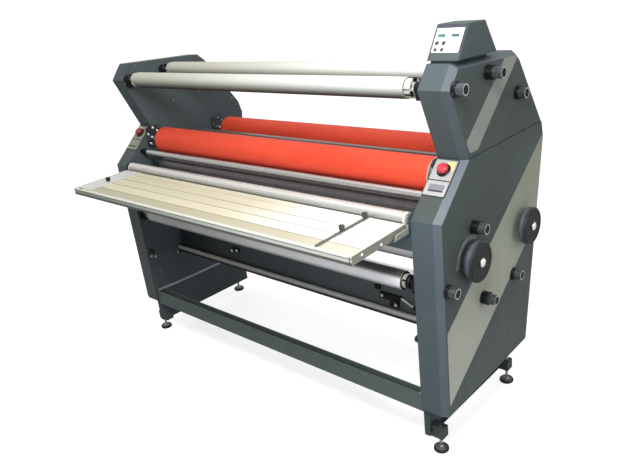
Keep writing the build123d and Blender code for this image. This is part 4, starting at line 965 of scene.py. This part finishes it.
# ------------------------------------------------------------------ film chucks and roller ends
for nm, (y, z) in (("front", (124, 1477)), ("top", (350, 1491))):
    def ch(u, v, w, y=y, z=z):
        return P(w, y + u, z + v)
    body = f"film_roll_{nm}"
    add(f"chuck_ring_{nm}", lathe(f"chuck_ring_{nm}", [(840.4, 35.6), (840.6, 37.4), (842.6, 37.6), (843.2, 36.8), (843.4, 35.4)], ch, 44), M_CHUCKDARK, body)
    for i in range(3):
        a0 = math.radians(90 + 120 * i)
        jaw = [(r * math.cos(a0 + d), r * math.sin(a0 + d)) for r, d in ((17.5, -0.30), (35.6, -0.36), (36.6, -0.18), (36.8, 0.0), (36.6, 0.18), (35.6, 0.36), (17.5, 0.30), (16.6, 0.0))]
        add(f"chuck_jaw_{nm}_{i}", plate(f"chuck_jaw_{nm}_{i}", jaw, 868.05, 3.0, ch), M_BLACKMETAL, body, 0.0005)
        add(f"chuck_key_{nm}_{i}", sweep_loop(f"chuck_key_{nm}_{i}", [[P(845, y + r * math.cos(a0 + d), z + r * math.sin(a0 + d)) for r, d in ((34.6, -0.1), (36.9, -0.1), (36.9, 0.1), (34.6, 0.1))],
                                                                     [P(866, y + r * math.cos(a0 + d), z + r * math.sin(a0 + d)) for r, d in ((34.6, -0.1), (36.9, -0.1), (36.9, 0.1), (34.6, 0.1))]]), M_BLACKMETAL, body, 0.0004)
        b0 = a0 + math.radians(60)
        by, bz = y + 29.0 * math.cos(b0), z + 29.0 * math.sin(b0)
        add(f"chuck_bolt_{nm}_{i}", sockethead(f"chuck_bolt_{nm}_{i}", lambda u, v, w, by=by, bz=bz: P(868.05 + w, by + u, bz + v), 4.0, 3.4, 2.0, 2.0), M_ZINC, body)
for nm, (y, z) in (("front", (34, 770)), ("middle", (297, 623)), ("rear", (559, 613))):
    def ch(u, v, w, y=y, z=z):
        return P(w, y + u, z + v)
    body = f"lower_film_roller_{nm}"
    add(f"lower_chuck_{nm}", lathe(f"lower_chuck_{nm}", [(840.2, 26.0), (841.0, 28.6), (854, 29.0), (855, 27.4), (855.2, 26.0)], ch, 44), M_CHUCK, body)
    add(f"lower_boss_{nm}", lathe(f"lower_boss_{nm}", [(855.4, 12.0), (855.6, 26.4), (857, 28.6), (868, 28.2), (870.5, 26.5), (870.8, 12.0)], ch, 44), M_BLACKMETAL, body)
    for i in range(3):
        a0 = math.radians(30 + 120 * i)
        q = [(r, d) for r, d in ((28.3, -0.13), (29.9, -0.13), (29.9, 0.13), (28.3, 0.13))]
        add(f"lower_slot_{nm}_{i}", sweep_loop(f"lower_slot_{nm}_{i}", [[P(x, y + r * math.cos(a0 + d), z + r * math.sin(a0 + d)) for r, d in q] for x in (842.5, 867.0)]), M_BLACKMETAL, body, 0.0003)
    add(f"lower_plug_{nm}", lathe(f"lower_plug_{nm}", [(-796.2, 33.0), (-798.0, 32.6), (-799.0, 27.6), (-836, 27.0), (-839, 25.0), (-839.5, 12.0)], ch, 44), M_CHUCKDARK, body)
def idc(u, v, w):
    return P(w, 24 + u, 1028 + v)
add("idler_cap", lathe("idler_cap", [(868.2, 27.4), (869.0, 27.9), (875.4, 27.9), (877.0, 26.6), (877.4, 10.0)], idc, 44), M_CREAM, "idler_roller")
add("idler_cap_left", lathe("idler_cap_left", [(-876.2, 27.4), (-877.0, 27.9), (-880.4, 27.9), (-882.0, 26.6), (-882.4, 10.0)], idc, 44), M_CREAM, "idler_roller")
add("idler_notch", plate("idler_notch", rrect(0, 14.5, 5.0, 12.0, 1.2), 877.45, 0.5, idc), M_BLACKMETAL, "idler_roller")

# ------------------------------------------------------------------ feed table trim
def tend(u, v, w):
    return P(886 + w, u, v)
for i, (y, z) in enumerate(((-265, 1010), (-157, 1003))):
    add(f"table_bolt_{i}", lathe(f"table_bolt_{i}", [(0.05, 5.2), (1.6, 5.0), (2.7, 3.9), (3.2, 1.6)], lambda u, v, w, y=y, z=z: tend(y + u, z + v, w), 24), M_BOLTWHITE, "table")
    add(f"table_bolt_left_{i}", lathe(f"table_bolt_left_{i}", [(0.05, 5.2), (1.6, 5.0), (2.7, 3.9), (3.2, 1.6)], lambda u, v, w, y=y, z=z: P(-886 - w, y + u, z + v), 24), M_BOLTWHITE, "table")
add("table_corner_cap", lathe("table_corner_cap", [(0.05, 8.0), (2.6, 7.8), (4.0, 6.6), (4.6, 2.4)], lambda u, v, w: P(-868 + u, -300 + v, 1025.1 + w), 28), M_BOLTWHITE, "table")
add("table_corner_screw", sockethead("table_corner_screw", lambda u, v, w: P(-836 + u, -313.5 + v, 1025.1 + w), 4.2, 3.4, 2.2, 2.2), M_KNOBBLACK, "table")
for i, x in enumerate((-1, 1)):
    add(f"hinge_bolt_{i}", hexhead(f"hinge_bolt_{i}", lambda u, v, w, x=x: P(x * (HALF - 8.5 - w), -14 + u, 1003 + v), 5.5, 5.0, 7.5), M_BOLTWHITE, "frame")

# ------------------------------------------------------------------ lower guard fittings
def gd(u, v, w):
    return P(u, 245 - w, v)
for i, (x, z, w, h) in enumerate(((602, 540, 100, 30), (-402, 558, 52, 22), (541, 574, 30, 20), (628, 512, 46, 30))):
    add(f"guard_box_{i}", plate(f"guard_box_{i}", rrect(x, z, w, h, 4), 0.05, 12.0, gd), M_BLACKMETAL, "frame", 0.0012)
for i, (x, z, w0) in enumerate(((567, 541, 12.05), (637, 510, 12.05), (-428, 549, 12.05), (-386, 558, 12.05))):
    add(f"guard_bolt_{i}", hexhead(f"guard_bolt_{i}", lambda u, v, w, x=x, z=z, w0=w0: gd(x + u, z + v, w + w0), 5.4, 4.6, 7.4), M_BOLTWHITE, "frame")
rod = [(663, 550), (683, 543), (705, 532), (732, 521)]
add("guard_rod", sweep_loop("guard_rod", [[P(x + 0.4 * 4.5 * math.cos(a), 237 + 4.5 * math.sin(a), z + 0.9 * 4.5 * math.cos(a)) for a in [2 * math.pi * k / 20 for k in range(20)]] for x, z in rod]), M_BOLTWHITE, "frame")
for i, (x, z) in enumerate(((661, 551), (734, 520))):
    add(f"guard_rod_end_{i}", plate(f"guard_rod_end_{i}", rrect(x, z, 12, 14, 3), 0.05, 14.0, gd), M_BLACKMETAL, "frame", 0.0008)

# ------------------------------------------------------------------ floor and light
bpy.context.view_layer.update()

bm = bmesh.new()
bmesh.ops.create_grid(bm, x_segments=4, y_segments=4, size=14.0)
fme = bpy.data.meshes.new("floor")
bm.to_mesh(fme)
bm.free()
floor = bpy.data.objects.new("floor", fme)
scene.collection.objects.link(floor)
fm = Mat("floor_pale", (0.62, 0.62, 0.62, 1), 0.9, Specular_IOR_Level=0.0)
fm.color(fm.mix(fm.ramp(fm.noise(1.2, 3.0), 0.3, 0.7), (0.61, 0.61, 0.61, 1), (0.63, 0.63, 0.63, 1)))
fm.b.inputs["Emission Color"].default_value = (1.0, 1.0, 1.0, 1)
fm.b.inputs["Emission Strength"].default_value = 0.66
# the sweep looks white, but throws back only a soft grey light under the machine
fdim = fm.n("BsdfDiffuse")
fdim.inputs["Color"].default_value = (0.34, 0.34, 0.345, 1)
fmix = fm.n("MixShader")
fm.link(fm.n("LightPath").outputs["Is Camera Ray"], fmix.inputs[0])
fm.link(fdim.outputs[0], fmix.inputs[1])
fm.link(fm.b.outputs[0], fmix.inputs[2])
fm.link(fmix.outputs[0], fm.out.inputs[0])
fme.materials.append(fm.m)

# studio: white sweep seen by the camera, dimmer towards the side the picture is taken from
world = bpy.data.worlds.new("studio")
world.use_nodes = True
wt = world.node_tree
bg = wt.nodes["Background"]


def wn(kind, **props):
    d = wt.nodes.new("ShaderNode" + kind)
    for k, v in props.items():
        setattr(d, k, v)
    return d


direction = wn("TexCoord").outputs["Generated"]
dot = wn("VectorMath", operation="DOT_PRODUCT")
wt.links.new(direction, dot.inputs[0])
dot.inputs[1].default_value = (-0.62, 0.78, 0.0)
side_r = wn("MapRange", clamp=True, interpolation_type="SMOOTHSTEP")
wt.links.new(dot.outputs["Value"], side_r.inputs["Value"])
for k, v in (("From Min", -0.9), ("From Max", 0.6), ("To Min", 0.24), ("To Max", 0.62)):
    side_r.inputs[k].default_value = v
sep = wn("SeparateXYZ")
wt.links.new(direction, sep.inputs[0])
up_r = wn("MapRange", clamp=True, interpolation_type="SMOOTHSTEP")
wt.links.new(sep.outputs[2], up_r.inputs["Value"])
for k, v in (("From Min", 0.45), ("From Max", 0.95), ("To Min", 0.0), ("To Max", 0.55)):
    up_r.inputs[k].default_value = v
grad = wn("Math", operation="ADD")
wt.links.new(side_r.outputs["Result"], grad.inputs[0])
wt.links.new(up_r.outputs["Result"], grad.inputs[1])
path = wn("LightPath")
pick_bg = wn("Mix", data_type="FLOAT")
wt.links.new(path.outputs["Is Camera Ray"], pick_bg.inputs[0])
wt.links.new(grad.outputs[0], pick_bg.inputs[2])
pick_bg.inputs[3].default_value = 1.1
bg.inputs[0].default_value = (1.0, 1.0, 1.0, 1)
wt.links.new(pick_bg.outputs[0], bg.inputs[1])
scene.world = world


def area(name, loc, target, size, power, color=(1, 1, 1), spread=None):
    d = bpy.data.lights.new(name, "AREA")
    d.shape, d.size, d.size_y = "RECTANGLE", size[0], size[1]
    d.energy, d.color = power, color
    o = bpy.data.objects.new(name, d)
    scene.collection.objects.link(o)
    o.location = loc
    o.rotation_mode = "QUATERNION"
    o.rotation_quaternion = (Vector(target) - Vector(loc)).to_track_quat("-Z", "Y")
    return o


area("key", (1.3, -1.4, 2.6), (0.4, -0.3, 1.0), (1.1, 0.8), 62, (1.0, 1.0, 0.985))
area("front", (2.6, -3.4, 2.2), (0.2, -0.1, 0.9), (1.4, 1.2), 26, (0.90, 0.96, 1.0))
area("side", (4.2, 0.2, 1.7), (1.0, 0.0, 0.9), (2.0, 2.0), 30, (0.97, 1.0, 0.98))
area("top", (-0.5, 0.2, 4.4), (-0.3, 0.0, 1.0), (3.0, 2.0), 18, (1.0, 0.995, 0.98))
